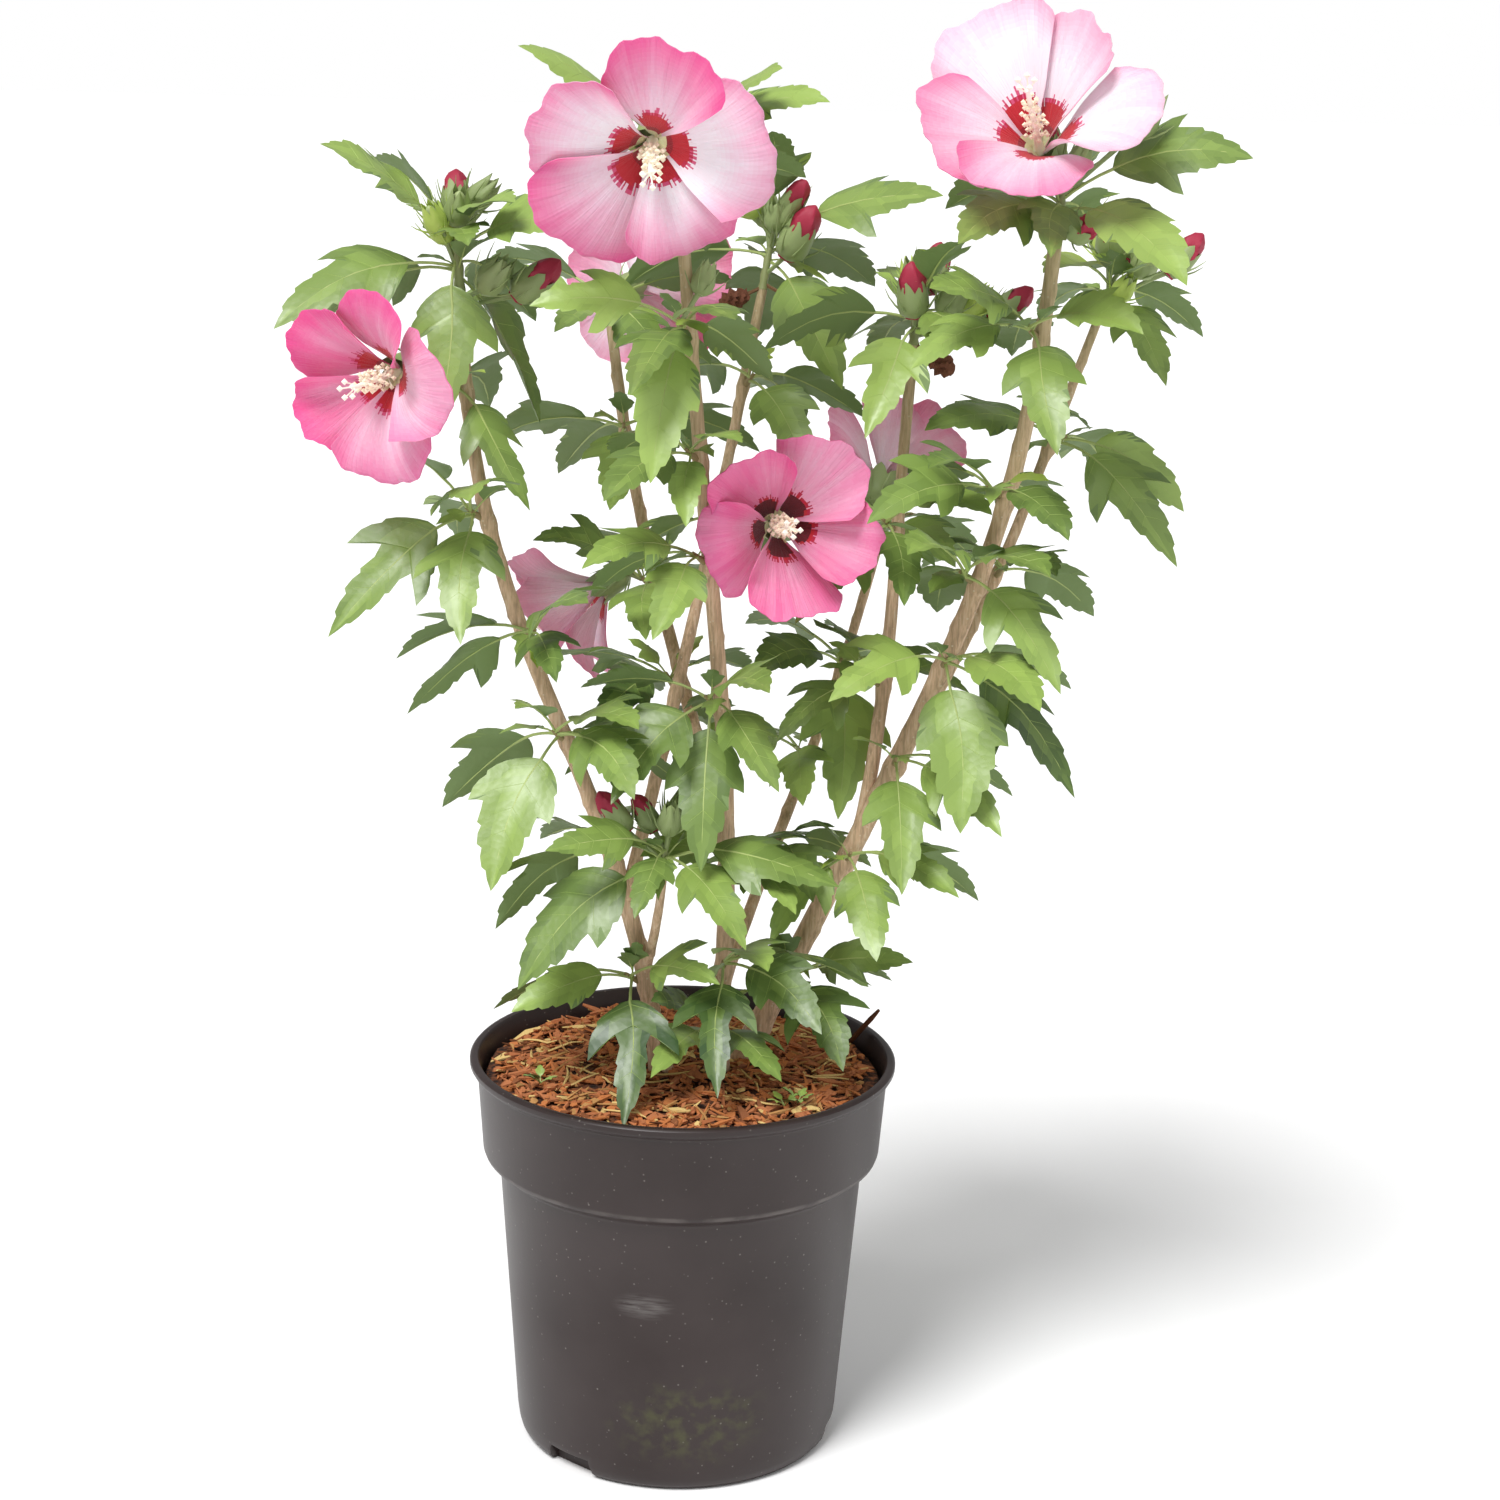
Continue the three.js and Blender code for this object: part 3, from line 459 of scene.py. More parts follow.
class Heap:
    """Many small closed shapes that become one joined mesh."""

    def __init__(self):
        self.points, self.faces, self.slots, self.flat = [], [], [], []
        self.count = 0

    def add(self, points, faces, slots=0, flat=None):
        """Adds a shape: corners, faces, one slot or one for each face, and flat places for a pattern."""
        self.points.append(np.asarray(points, float))
        self.faces += [[corner + self.count for corner in face] for face in faces]
        self.slots += [slots] * len(faces) if isinstance(slots, int) else list(slots)
        if flat is not None:
            self.flat.append(np.asarray(flat, float))
        self.count += len(points)

    def make(self, name, materials, smooth_angle=50):
        """Joins the shapes into one piece, smooth but for edges sharper than this angle."""
        mesh = bpy.data.meshes.new(name)
        mesh.from_pydata(np.vstack(self.points) * MM, [], self.faces)
        for material in materials:
            mesh.materials.append(material)
        mesh.polygons.foreach_set("material_index", self.slots)
        if self.flat:
            corners = np.empty(len(mesh.loops), int)
            mesh.loops.foreach_get("vertex_index", corners)
            layer = mesh.uv_layers.new(name="surface")
            layer.data.foreach_set("uv", np.vstack(self.flat)[corners].ravel())
        piece = bpy.data.objects.new(name, mesh)
        bpy.context.scene.collection.objects.link(piece)
        make_active(piece)
        bpy.ops.object.mode_set(mode="EDIT")
        bpy.ops.mesh.select_all(action="SELECT")
        bpy.ops.mesh.normals_make_consistent(inside=False)
        bpy.ops.object.mode_set(mode="OBJECT")
        bpy.ops.object.shade_smooth_by_angle(angle=math.radians(smooth_angle))
        return piece


def ring_faces(rings, sides):
    """Faces of a tube of rings, closed by a flat face at each end."""
    faces = []
    for ring in range(rings - 1):
        low, high = ring * sides, (ring + 1) * sides
        faces += [[low + i, low + (i + 1) % sides, high + (i + 1) % sides, high + i] for i in range(sides)]
    top = (rings - 1) * sides
    return [list(range(sides))[::-1]] + faces + [list(range(top, top + sides))]


STEEP = 0.7  # a path that runs further along Y than this, for each unit, takes its sides from X


def round_turns(sides):
    """Angles evenly spaced round a ring, in radians."""
    return 2 * math.pi * np.arange(sides) / sides


def tube(path, radii, sides):
    """A closed tube along a path. Its radii are one for each point, or one for each point and side."""
    path = np.asarray(path, float)
    along = np.gradient(path, axis=0)
    along /= np.linalg.norm(along, axis=1, keepdims=True)
    chord = unit(path[-1] - path[0])
    guide = np.array([0.0, 1.0, 0.0]) if abs(chord[1]) < STEEP else np.array([1.0, 0.0, 0.0])
    side = np.cross(along, guide)
    side /= np.linalg.norm(side, axis=1, keepdims=True)
    other = np.cross(along, side)
    turns = round_turns(sides)
    radii = np.asarray(radii, float)
    if radii.ndim == 1:
        radii = np.repeat(radii[:, None], sides, axis=1)
    ring = np.cos(turns)[:, None] * side[:, None, :] + np.sin(turns)[:, None] * other[:, None, :]
    points = path[:, None, :] + radii[:, :, None] * ring
    return points.reshape(-1, 3), ring_faces(len(path), sides)


def standing(points, base, axis, turn=0):
    """Places points that were made round +Z on a base, along an axis."""
    spin = Matrix.Rotation(math.radians(turn), 3, "Z")
    stand = Vector((0, 0, 1)).rotation_difference(Vector(axis)).to_matrix() @ spin
    return np.asarray(points) @ np.array(stand).T + base


# ------------------------------------------------------------------ materials


BLACK = (0, 0, 0)
WHITE = (1, 1, 1)


def add_node(owner, kind, inputs=None, stops=None, **settings):
    """Adds one node with its settings, its colour stops, and its inputs, which are values or outputs."""
    made = owner.node_tree.nodes.new(kind)
    for name, value in settings.items():
        setattr(made, name, value)
    if stops:
        ramp = made.color_ramp
        while len(ramp.elements) < len(stops):
            ramp.elements.new(0.5)
        for element, (place, colour) in zip(ramp.elements, stops):
            element.position = place
            element.color = (*colour, 1)
    for name, value in (inputs or {}).items():
        if isinstance(value, bpy.types.NodeSocket):
            feed(owner, value, made.inputs[name])
        else:
            made.inputs[name].default_value = value
    return made


def feed(owner, output, socket):
    """Links an output to the socket of another node."""
    owner.node_tree.links.new(output, socket)


def new_material(name, colour, roughness, **sockets):
    """A material with a plain surface, and its Principled node."""
    material = bpy.data.materials.new(name)
    material.use_nodes = True
    surface = material.node_tree.nodes["Principled BSDF"]
    surface.inputs["Base Color"].default_value = (*colour, 1)
    surface.inputs["Roughness"].default_value = roughness
    for socket, value in sockets.items():
        surface.inputs[socket.replace("_", " ")].default_value = value
    return material, surface


def mixed(first, second, share):
    """The colour that lies this share of the way from the first to the second."""
    return tuple(a + (b - a) * share for a, b in zip(first, second))


def object_place(material):
    """A place in the piece's own space, in metres."""
    return add_node(material, "ShaderNodeTexCoord").outputs["Object"]


def stretched(material, place, scale):
    """The place scaled along X, Y and Z: a pattern is drawn out along an axis whose scale is small."""
    return add_node(material, "ShaderNodeMapping", {"Vector": place, "Scale": scale}).outputs["Vector"]


def grain_of(material, place, size, detail, **inputs):
    """A cloudy pattern whose grains are this many millimetres wide."""
    inputs = {"Vector": place, "Scale": 1 / (size * MM), "Detail": detail, **inputs}
    return add_node(material, "ShaderNodeTexNoise", inputs).outputs["Fac"]


def cells_of(material, place, size):
    """Cells about this many millimetres apart: how far a place is from its cell's middle, and its shade."""
    cells = add_node(material, "ShaderNodeTexVoronoi", {"Vector": place, "Scale": 1 / (size * MM)})
    return cells.outputs["Distance"], cells.outputs["Color"]


def ranged(owner, value, given=(0, 1), wanted=(0, 1), **settings):
    """The value moved from the given span to the wanted one."""
    names = "Value", "From Min", "From Max", "To Min", "To Max"
    inputs = dict(zip(names, (value, *given, *wanted)))
    return add_node(owner, "ShaderNodeMapRange", inputs, **settings).outputs["Result"]


def reckoned(material, operation, first, second):
    """The sum, product or other outcome of two values."""
    return add_node(material, "ShaderNodeMath", {0: first, 1: second}, operation=operation).outputs[0]


def tinted(material, share, stops):
    """The colour at this share along the colour stops."""
    return add_node(material, "ShaderNodeValToRGB", {"Fac": share}, stops=stops).outputs["Color"]


def painted(material, under, share, colour):
    """The colour underneath with this share of another colour over it."""
    inputs = {0: share, 6: under, 7: (*colour, 1)}
    return add_node(material, "ShaderNodeMix", inputs, data_type="RGBA").outputs[2]


def roughen(material, surface, height, strength, depth):
    """Raises the surface where a pattern is high, by up to this depth in millimetres."""
    inputs = {"Height": height, "Strength": strength, "Distance": depth * MM}
    bump = add_node(material, "ShaderNodeBump", inputs)
    feed(material, bump.outputs["Normal"], surface.inputs["Normal"])


def leaf_material(name, colour, roughness):
    """Waxy leaf skin: a soft sheen that breaks up between the small veins, which lie about 3 mm apart."""
    material, surface = new_material(name, colour, roughness, Specular_IOR_Level=0.65)
    place = object_place(material)
    cells, _ = cells_of(material, place, size=3)
    puckers = grain_of(material, place, size=8, detail=3)
    roughen(material, surface, reckoned(material, "ADD", cells, puckers), strength=0.25, depth=0.35)
    gloss = ranged(material, puckers, wanted=(roughness - 0.08, roughness + 0.12))
    feed(material, gloss, surface.inputs["Roughness"])
    return material


LEAF_STEPS = 13
LEAF_GLOSS = 0.38  # roughness of the upper side, and of the underside
UNDERSIDE_GLOSS = 0.62


def leaf_materials(colours):
    """Blade tints from dark to bright, two of young leaves, then the underside."""
    dark, bright, young = colours.leaf_dark, colours.leaf_bright, colours.leaf_young
    tints = [mixed(dark, bright, step / (LEAF_STEPS - 1)) for step in range(LEAF_STEPS)]
    tints += [mixed(bright, young, 0.5), young]
    blades = [leaf_material(f"leaf blade waxed green {i}", tint, LEAF_GLOSS) for i, tint in enumerate(tints)]
    return blades + [leaf_material("leaf underside matt green", colours.leaf_under, UNDERSIDE_GLOSS)]


def soft_green_material(name, colour, roughness=0.55, grain=0.8):
    """Green plant skin with fine downy grain, such as stalks, sepals and bracts."""
    material, surface = new_material(name, colour, roughness)
    down = grain_of(material, object_place(material), grain, detail=2)
    roughen(material, surface, down, strength=0.35, depth=0.2)
    return material


RIBS = (26.0, 2.2, 1.0)  # across a petal's width, along its length, and the unused third way


def petal_material(name, colour):
    """Crepe-like petal skin: matt and softly lit through, with fine ribs that run from foot to margin."""
    material, surface = new_material(
        name, colour, 0.62, Sheen_Weight=0.2, Sheen_Roughness=0.5, Subsurface_Weight=0.45,
        Subsurface_Radius=(1.0, 0.55, 0.6), Subsurface_Scale=3 * MM, Specular_IOR_Level=0.3,
    )
    place = add_node(material, "ShaderNodeUVMap", uv_map="surface").outputs["UV"]
    inputs = {"Vector": stretched(material, place, RIBS), "Scale": 1.0, "Detail": 3.0}
    ribs = add_node(material, "ShaderNodeTexNoise", inputs)
    roughen(material, surface, ribs.outputs["Fac"], strength=0.8, depth=0.8)
    return material


PINK_STEPS = 22
PINK_CURVE = 1.4  # above 1 the first steps are wider apart than the last


def petal_materials(colours):
    """Pinks from the palest to the deepest, then the eye from its foot to its rays, then the throat."""
    pale, deep, eye = colours.petal_pale, colours.petal_deep, colours.petal_eye
    shares = [1 - (1 - step / (PINK_STEPS - 1)) ** PINK_CURVE for step in range(PINK_STEPS)]
    pinks = [mixed(pale, deep, share) for share in shares]
    eyes = [
        # The first, near-black crimson is partly the eye's deep colour and partly painted shade, for a bloom in
        # shade.
        linear("#5A0F1C"), mixed(eye, linear("#6E0F22"), 0.6), tuple(eye), mixed(eye, linear("#B5204A"), 0.7),
        linear("#D2557F"),
    ]
    made = [petal_material(f"petal crepe pink {i}", tint) for i, tint in enumerate(pinks)]
    made += [petal_material(f"petal eye crimson {i}", tint) for i, tint in enumerate(eyes)]
    return made + [petal_material("petal throat cream", linear("#EFE6B0"))]


GREENING = (400 * MM, 560 * MM)  # heights between which the bark turns to the green of young wood


def bark_material(colours):
    """Young woody bark: grey-tan skin with lengthwise streaks, small pale pores, and green near the tips."""
    tan = tuple(colours.bark)
    material, surface = new_material("bark young grey tan", tan, 0.82)
    place = object_place(material)
    streaks = grain_of(material, stretched(material, place, (1, 1, 0.09)), size=1.3, detail=4, Roughness=0.62)
    skin = tinted(material, streaks, [
        (0.3, mixed(tan, BLACK, 0.4)), (0.43, mixed(tan, linear("#8A7054"), 0.35)), (0.55, tan),
        (0.72, mixed(tan, linear("#E2CFB4"), 0.75)),
    ])
    pores, _ = cells_of(material, place, size=3.2)
    dots = ranged(material, pores, given=(0.10, 0.17), wanted=(0.8, 0))
    speckled = painted(material, skin, dots, linear("#D9C8AC"))
    height = add_node(material, "ShaderNodeSeparateXYZ", {"Vector": place}).outputs["Z"]
    youth = ranged(material, height, given=GREENING, wanted=(0, 0.5))
    feed(material, painted(material, speckled, youth, linear("#87925A")), surface.inputs["Base Color"])
    roughen(material, surface, streaks, strength=0.7, depth=0.4)
    return material


def fibre_material(name, colour):
    """Shredded bark and dry petals: matt fibre with a coarse grain about a millimetre wide."""
    material, surface = new_material(name, colour, 0.9, Specular_IOR_Level=0.2)
    grain = grain_of(material, object_place(material), size=0.9, detail=4)
    roughen(material, surface, grain, strength=0.8, depth=0.5)
    return material


def compost_material():
    """Moist peat and bark compost: dark crumbs of a few millimetres between the chips."""
    material, surface = new_material("compost moist peat", linear("#4A2A18"), 0.95)
    crumbs = grain_of(material, object_place(material), size=3, detail=6)
    stops = [(0.35, linear("#1E100A")), (0.5, linear("#54301C")), (0.68, linear("#8A5230"))]
    feed(material, tinted(material, crumbs, stops), surface.inputs["Base Color"])
    roughen(material, surface, crumbs, strength=1, depth=2)
    return material


# Marks on the pot's wall: a green film low on the front, a rubbed patch, and a pale band round the lower edge
# of the collar. Each has its middle and its reach along X, Y and Z, the strength of its colour, and the size of
# the grain that breaks it up, how far that is drawn out, and between which of its values the mark comes in.
POT_MARKS = (
    dict(colour="#555A2C", middle=(6, -74, 34), reach=(46, 30, 26), strength=0.36,
         grain=6, draw=(1, 1, 1), comes_in=(0.44, 0.66)),
    dict(colour="#8D8986", middle=(-14.6, -77.4, 90.2), reach=(15, 20, 7.5), strength=0.3,
         grain=1.1, draw=(0.1, 0.1, 1), comes_in=(0.35, 0.6)),
    dict(colour="#8A827C", middle=(0, 0, 134.6), reach=(1000, 1000, 1.8), strength=0.24,
         grain=14, draw=(1, 1, 1), comes_in=(0.42, 0.62)),
)


def mark_share(material, place, mark):
    """How much of a mark there is at a place. It fades to its edge, and is broken up by its grain."""
    middle, reach = Vector(mark["middle"]) * MM, Vector(mark["reach"]) * MM
    centred = add_node(material, "ShaderNodeVectorMath", {0: place, 1: middle}, operation="SUBTRACT")
    scaled = add_node(material, "ShaderNodeVectorMath", {0: centred.outputs[0], 1: reach}, operation="DIVIDE")
    away = add_node(material, "ShaderNodeVectorMath", {0: scaled.outputs[0]}, operation="LENGTH")
    faded = ranged(
        material, away.outputs["Value"], (0.3, 1), (mark["strength"], 0), interpolation_type="SMOOTHSTEP"
    )
    grain = grain_of(material, stretched(material, place, mark["draw"]), mark["grain"], detail=5)
    return reckoned(material, "MULTIPLY", faded, ranged(material, grain, given=mark["comes_in"]))


def pot_material(colours):
    """Recycled black polypropylene, injection moulded: a satin skin with pale dust and a few marks."""
    black = tuple(colours.pot)
    material, surface = new_material("polypropylene black satin moulded", black, 0.4, Specular_IOR_Level=0.42)
    place = object_place(material)
    clouds = grain_of(material, place, size=60, detail=5)
    colour = tinted(material, clouds, [(0.3, mixed(black, BLACK, 0.25)), (0.7, mixed(black, WHITE, 0.012))])
    specks, shade = cells_of(material, place, size=4.2)
    dust = ranged(material, specks, given=(0.07, 0.12), wanted=(0.4, 0))
    colour = painted(material, colour, reckoned(material, "MULTIPLY", dust, shade), linear("#A39C94"))
    for mark in POT_MARKS:
        colour = painted(material, colour, mark_share(material, place, mark), linear(mark["colour"]))
    feed(material, colour, surface.inputs["Base Color"])
    feed(material, ranged(material, clouds, wanted=(0.32, 0.48)), surface.inputs["Roughness"])
    skin = grain_of(material, place, size=1.5, detail=2)
    roughen(material, surface, skin, strength=0.15, depth=0.1)
    return material


# ------------------------------------------------------------------ pot

# The outside of the pot from its underside to the top of its rolled lip: (radius, height).
POT_OUTSIDE = [
    (67, 0), (69.5, 0.8), (71.4, 3), (72.2, 6), (73, 12), (77.2, 70), (81.5, 128), (83.5, 130.6),
    (86.6, 132.6), (88.3, 134), (89, 136), (91.6, 171), (92.6, 172.6), (94.2, 173.6), (95, 175), (95, 176.8),
    (94.2, 177.7), (93, 178),
]
# The inside from the lip down to the floor.
POT_INSIDE = [(91.6, 177.7), (90.8, 176.5), (87.2, 136), (79.6, 130), (71, 13), (65.3, 4.4), (1, 4)]
POT_EDGE = 0.5  # rounding of its moulded edges
# The drain notches: the first one's turn, how far out they are, and their size. They narrow towards the top.
NOTCH = dict(count=3, turn=-131, out=73, width=30, height=9, depth=16, narrowing=0.75)


def revolve_pot(sides):
    """Draws one ring, and extrudes and scales it from the underside up the outside and down the inside."""
    clear_selection()
    radius, height = 1, 0
    bpy.ops.mesh.primitive_circle_add(
        vertices=sides, radius=radius * MM, fill_type="NGON", location=(0, 0, 0)
    )
    pot = bpy.context.active_object
    pot.name = "pot_shell"
    bpy.ops.object.mode_set(mode="EDIT")
    bpy.ops.mesh.select_all(action="SELECT")
    for next_radius, next_height in POT_OUTSIDE + POT_INSIDE:
        grow, climb = next_radius / radius, (next_height - height) * MM
        bpy.ops.mesh.extrude_region_move(TRANSFORM_OT_translate={"value": (0, 0, climb)})
        bpy.ops.transform.resize(value=(grow, grow, 1), center_override=(0, 0, next_height * MM))
        radius, height = next_radius, next_height
    bpy.ops.mesh.select_all(action="SELECT")
    bpy.ops.mesh.normals_make_consistent(inside=False)
    bpy.ops.object.mode_set(mode="OBJECT")
    return pot


def cut_notches(pot):
    """Cuts the drain notches through the foot of the pot."""
    for index in range(NOTCH["count"]):
        turn = math.radians(NOTCH["turn"] + 360 * index / NOTCH["count"])
        clear_selection()
        bpy.ops.mesh.primitive_cube_add(size=1, location=(0, 0, 0))
        cutter = bpy.context.active_object
        bpy.ops.object.mode_set(mode="EDIT")
        size = NOTCH["depth"] * MM, NOTCH["width"] * MM, 2 * NOTCH["height"] * MM
        bpy.ops.transform.resize(value=size, center_override=(0, 0, 0))
        bpy.ops.object.mode_set(mode="OBJECT")
        for corner in cutter.data.vertices:
            if corner.co.z > 0:
                corner.co.y *= NOTCH["narrowing"]
        cutter.data.transform(Matrix.Rotation(turn, 4, "Z") @ Matrix.Translation((NOTCH["out"] * MM, 0, 0)))
        make_active(pot)
        cut = pot.modifiers.new("notch", "BOOLEAN")
        cut.operation, cut.solver, cut.object = "DIFFERENCE", "EXACT", cutter
        bpy.ops.object.modifier_apply(modifier=cut.name)
        bpy.data.objects.remove(cutter)


class HIBISCUS_OT_pot(bpy.types.Operator):
    """Mould the nursery pot with its collar, rolled lip and drain notches"""

    bl_idname = "hibiscus.pot"
    bl_label = "Pot"

    def execute(self, context):
        scene = context.scene
        pot = revolve_pot(scene.shrub_sizes.pot_sides)
        cut_notches(pot)
        make_active(pot)
        edge = pot.modifiers.new("moulded edge", "BEVEL")
        edge.width, edge.segments = POT_EDGE * MM, 2
        edge.limit_method, edge.angle_limit = "ANGLE", math.radians(50)
        bpy.ops.object.modifier_apply(modifier=edge.name)
        bpy.ops.object.shade_smooth_by_angle(angle=math.radians(40))
        pot.data.materials.clear()
        pot.data.materials.append(pot_material(scene.shrub_colours))
        finish_piece(pot, "pot_plastic", "pot")
        return {"FINISHED"}


# ------------------------------------------------------------------ soil and mulch

MULCH_RADIUS = 88
MULCH_EDGE = 167  # height of the soil at the pot's wall
MULCH_PATCH = 46  # the soil is level as far out as this, and falls away from there
CRUST_RISE = 1.6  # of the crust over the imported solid's top
CRUST_DEPTH = 2.5
CRUST_GAP = 0.6  # between the crust and the edge of the soil
CRUST_SIDES = 72
CRUST_STEP = 3.6  # between its rings
LUMPS = dict(size=14, height=2.2, layer=3.1)
CRUMBS = dict(size=4, height=0.9, layer=7.7)


def soil_noise(x, y, kind):
    """How far lumps or crumbs raise or lower the soil at a place."""
    size = kind["size"]
    return kind["height"] * noise.noise(Vector((x / size, y / size, kind["layer"])))


def soil_height(x, y):
    """Height of the crumbled soil surface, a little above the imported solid's own top."""
    out = math.hypot(x, y)
    fall = max(0, out - MULCH_PATCH) / (MULCH_RADIUS - MULCH_PATCH)
    level = SOIL_TOP - (SOIL_TOP - MULCH_EDGE) * min(fall, 1)
    return level + CRUST_RISE + soil_noise(x, y, LUMPS) + soil_noise(x, y, CRUMBS)


def soil_crust():
    """A disc of soil whose top is crumbled by moving its corners, with a rim that meets the pot."""
    clear_selection()
    bpy.ops.mesh.primitive_circle_add(
        vertices=CRUST_SIDES, radius=(MULCH_RADIUS - CRUST_GAP) * MM, fill_type="NGON", location=(0, 0, 0)
    )
    crust = bpy.context.active_object
    crust.name = "soil_crust"
    bpy.ops.object.mode_set(mode="EDIT")
    bpy.ops.mesh.select_all(action="SELECT")
    for _ in range(int(MULCH_RADIUS / CRUST_STEP)):
        bpy.ops.mesh.inset(thickness=CRUST_STEP * MM, depth=0)
    bpy.ops.object.mode_set(mode="OBJECT")
    for corner in crust.data.vertices:
        corner.co.z = soil_height(corner.co.x / MM, corner.co.y / MM) * MM
    thick = crust.modifiers.new("depth", "SOLIDIFY")
    thick.thickness, thick.offset = CRUST_DEPTH * MM, -1
    bpy.ops.object.modifier_apply(modifier=thick.name)
    bpy.ops.object.shade_smooth_by_angle(angle=math.radians(60))
    crust.data.materials.append(compost_material())
    return crust


# The least and the greatest of each size of a chip, and how strongly small ones outnumber great ones.
CHIP = dict(length=(3, 17, 2.1), width=(0.9, 4.6, 1.8), thickness=(0.5, 1.8, 1))
CHIP_LAYER = 2.2  # depth of the loose chips over the soil
CHIP_PITCH = 0.45  # the steepest, in radians
CHIP_GAP = 5  # between the pot's wall and the middles of the chips, and of the straws
STRAW_GAP = 16
CHIP_FACES = ring_faces(3, 4)
SQUARE = ((-1, -1), (1, -1), (1, 1), (-1, 1))


def spot_in_pot(radius, seed, key):
    """A place dealt evenly over a disc of this radius, by this key for chance and the next."""
    out = radius * math.sqrt(share_of(seed, key))
    turn = 2 * math.pi * share_of(seed, key + 1)
    return out * math.cos(turn), out * math.sin(turn)


def mulch_chip(seed):
    """One splinter of shredded bark: a bent flat bar that tapers to both ends, lying at a slight tilt."""
    x, y = spot_in_pot(MULCH_RADIUS - CHIP_GAP, seed, 1)
    sizes = []
    for number, (low, high, skew) in enumerate(CHIP.values(), start=3):
        sizes.append(low + (high - low) * share_of(seed, number) ** skew)
    length, width, thickness = sizes
    along = heading(180 * chance(seed, 6), math.degrees(CHIP_PITCH * chance(seed, 7)))
    side = unit(np.cross(UP, along)) + UP * 0.5 * chance(seed, 8)
    lift = np.cross(along, side)
    middle = np.array([x, y, soil_height(x, y) + 0.5 + CHIP_LAYER * share_of(seed, 9)])
    points = []
    for step, spread in ((-0.5, 0.45), (0.12 * chance(seed, 10), 1), (0.5, 0.3)):
        bend = 0.12 * length * chance(seed, 11) * (abs(step) < 0.3)
        centre = middle + along * length * step + side * bend
        for a, b in SQUARE:
            points.append(centre + side * a * width * spread / 2 + lift * b * thickness * spread / 2)
    points = np.array(points)
    reach = np.hypot(points[:, 0], points[:, 1]).max()
    if reach > MULCH_RADIUS - 1:
        points[:, :2] *= (MULCH_RADIUS - 1) / reach
    return points


def mulch_materials(colours):
    """Rusty, orange, brown and near-black bark, then two of straw."""
    rust = tuple(colours.mulch)
    tints = [
        rust, mixed(rust, linear("#C4783F"), 0.55), mixed(rust, BLACK, 0.45), mixed(rust, BLACK, 0.75),
        linear("#B98A55"), linear("#DDBE7C"),
    ]
    return [fibre_material(f"bark chip shredded {i}", tint) for i, tint in enumerate(tints)]


CHIP_TINT_SHARES = (0.38, 0.68, 0.82, 0.86, 0.94, 1.0)  # running shares of the chips that take each tint
DARK_BARK, DULL_STRAW, BRIGHT_STRAW = 3, 4, 5
# Sticks that stand out: start, end, radius and tint. The first leans over the rim.
STICKS = [
    ((75, 36, 169), (89, 27, 190), 1.3, DARK_BARK),
    ((-54, 44, 172.5), (-36, 45, 173.5), 1.5, BRIGHT_STRAW),
    ((-30, -52, 173), (-12, -60, 174), 1.1, BRIGHT_STRAW),
    ((36, -62, 172.5), (58, -50, 173.5), 1.0, DULL_STRAW),
    ((-70, -8, 172), (-52, 8, 174), 1.2, DULL_STRAW),
]
STICK_SWELLING = np.array([0.7, 1, 0.9, 1, 0.6])
STRAWS = 70
STRAW = dict(length=(10, 28), bend=0.25, above=3.2, radii=(0.35, 0.55, 0.6, 0.5, 0.25))


class HIBISCUS_OT_mulch(bpy.types.Operator):
    """Fill the pot with compost and strew shredded bark on it"""

    bl_idname = "hibiscus.mulch"
    bl_label = "Soil and mulch"

    def execute(self, context):
        scene = context.scene
        compost = compost_material()
        soil = frame["nodes"]["soil"]
        soil.data.materials.clear()
        soil.data.materials.append(compost)
        finish_piece(soil_crust(), "compost")
        heap = Heap()
        for seed in range(scene.shrub_sizes.chip_count):
            dealt = share_of(seed, 12)
            tint = next(i for i, limit in enumerate(CHIP_TINT_SHARES) if dealt <= limit)
            heap.add(mulch_chip(seed), CHIP_FACES, tint)
        for seed in range(STRAWS):
            self.add_straw(heap, seed)
        for start, end, radius, tint in STICKS:
            path = np.linspace(start, end, len(STICK_SWELLING))
            heap.add(*tube(path, STICK_SWELLING * radius, 6), tint)
        chips = heap.make("mulch_chips", mulch_materials(scene.shrub_colours), smooth_angle=20)
        finish_piece(chips, "compost")
        return {"FINISHED"}

    @staticmethod
    def add_straw(heap, seed):
        """A thin straw or rootlet that lies on the chips."""
        x, y = spot_in_pot(MULCH_RADIUS - STRAW_GAP, seed, 41)
        yaw = math.pi * chance(seed, 43)
        low, high = STRAW["length"]
        length = low + (high - low) * share_of(seed, 44)
        bend = STRAW["bend"] * chance(seed, 45)
        points = []
        for step in np.linspace(-0.5, 0.5, len(STRAW["radii"])):
            spot_x = x + length * (math.cos(yaw) * step - math.sin(yaw) * bend * step * step)
            spot_y = y + length * (math.sin(yaw) * step + math.cos(yaw) * bend * step * step)
            points.append((spot_x, spot_y, soil_height(spot_x, spot_y) + STRAW["above"]))
        points, faces = tube(points, STRAW["radii"], 4)
        heap.add(points, faces, BRIGHT_STRAW if share_of(seed, 46) < 0.5 else DULL_STRAW)


# ------------------------------------------------------------------ stems, boughs and twigs

BARK_SIDES = 14
RING_STEP = 2.4
STEM_START = 4  # how far below the soil a stem's bark starts
COLLAR = dict(reach=6, swelling=0.35)  # where a bough leaves its parent
KNOT = dict(reach=3.2, height=0.75)  # where a spray leaves a limb
SCAR = dict(reach=2.0, height=0.75, step=17, scatter=4)  # of old leaves, along a limb and round it
RIDGE_LENGTH = 45  # of the long ridges of the bark, and of its finer grain
GRAIN_LENGTH = 9


def bump_at(places, middle, reach):
    """A rounded bump that is 1 in its middle and dies away over its reach."""
    return np.exp(-(((places - middle) / reach) ** 2))


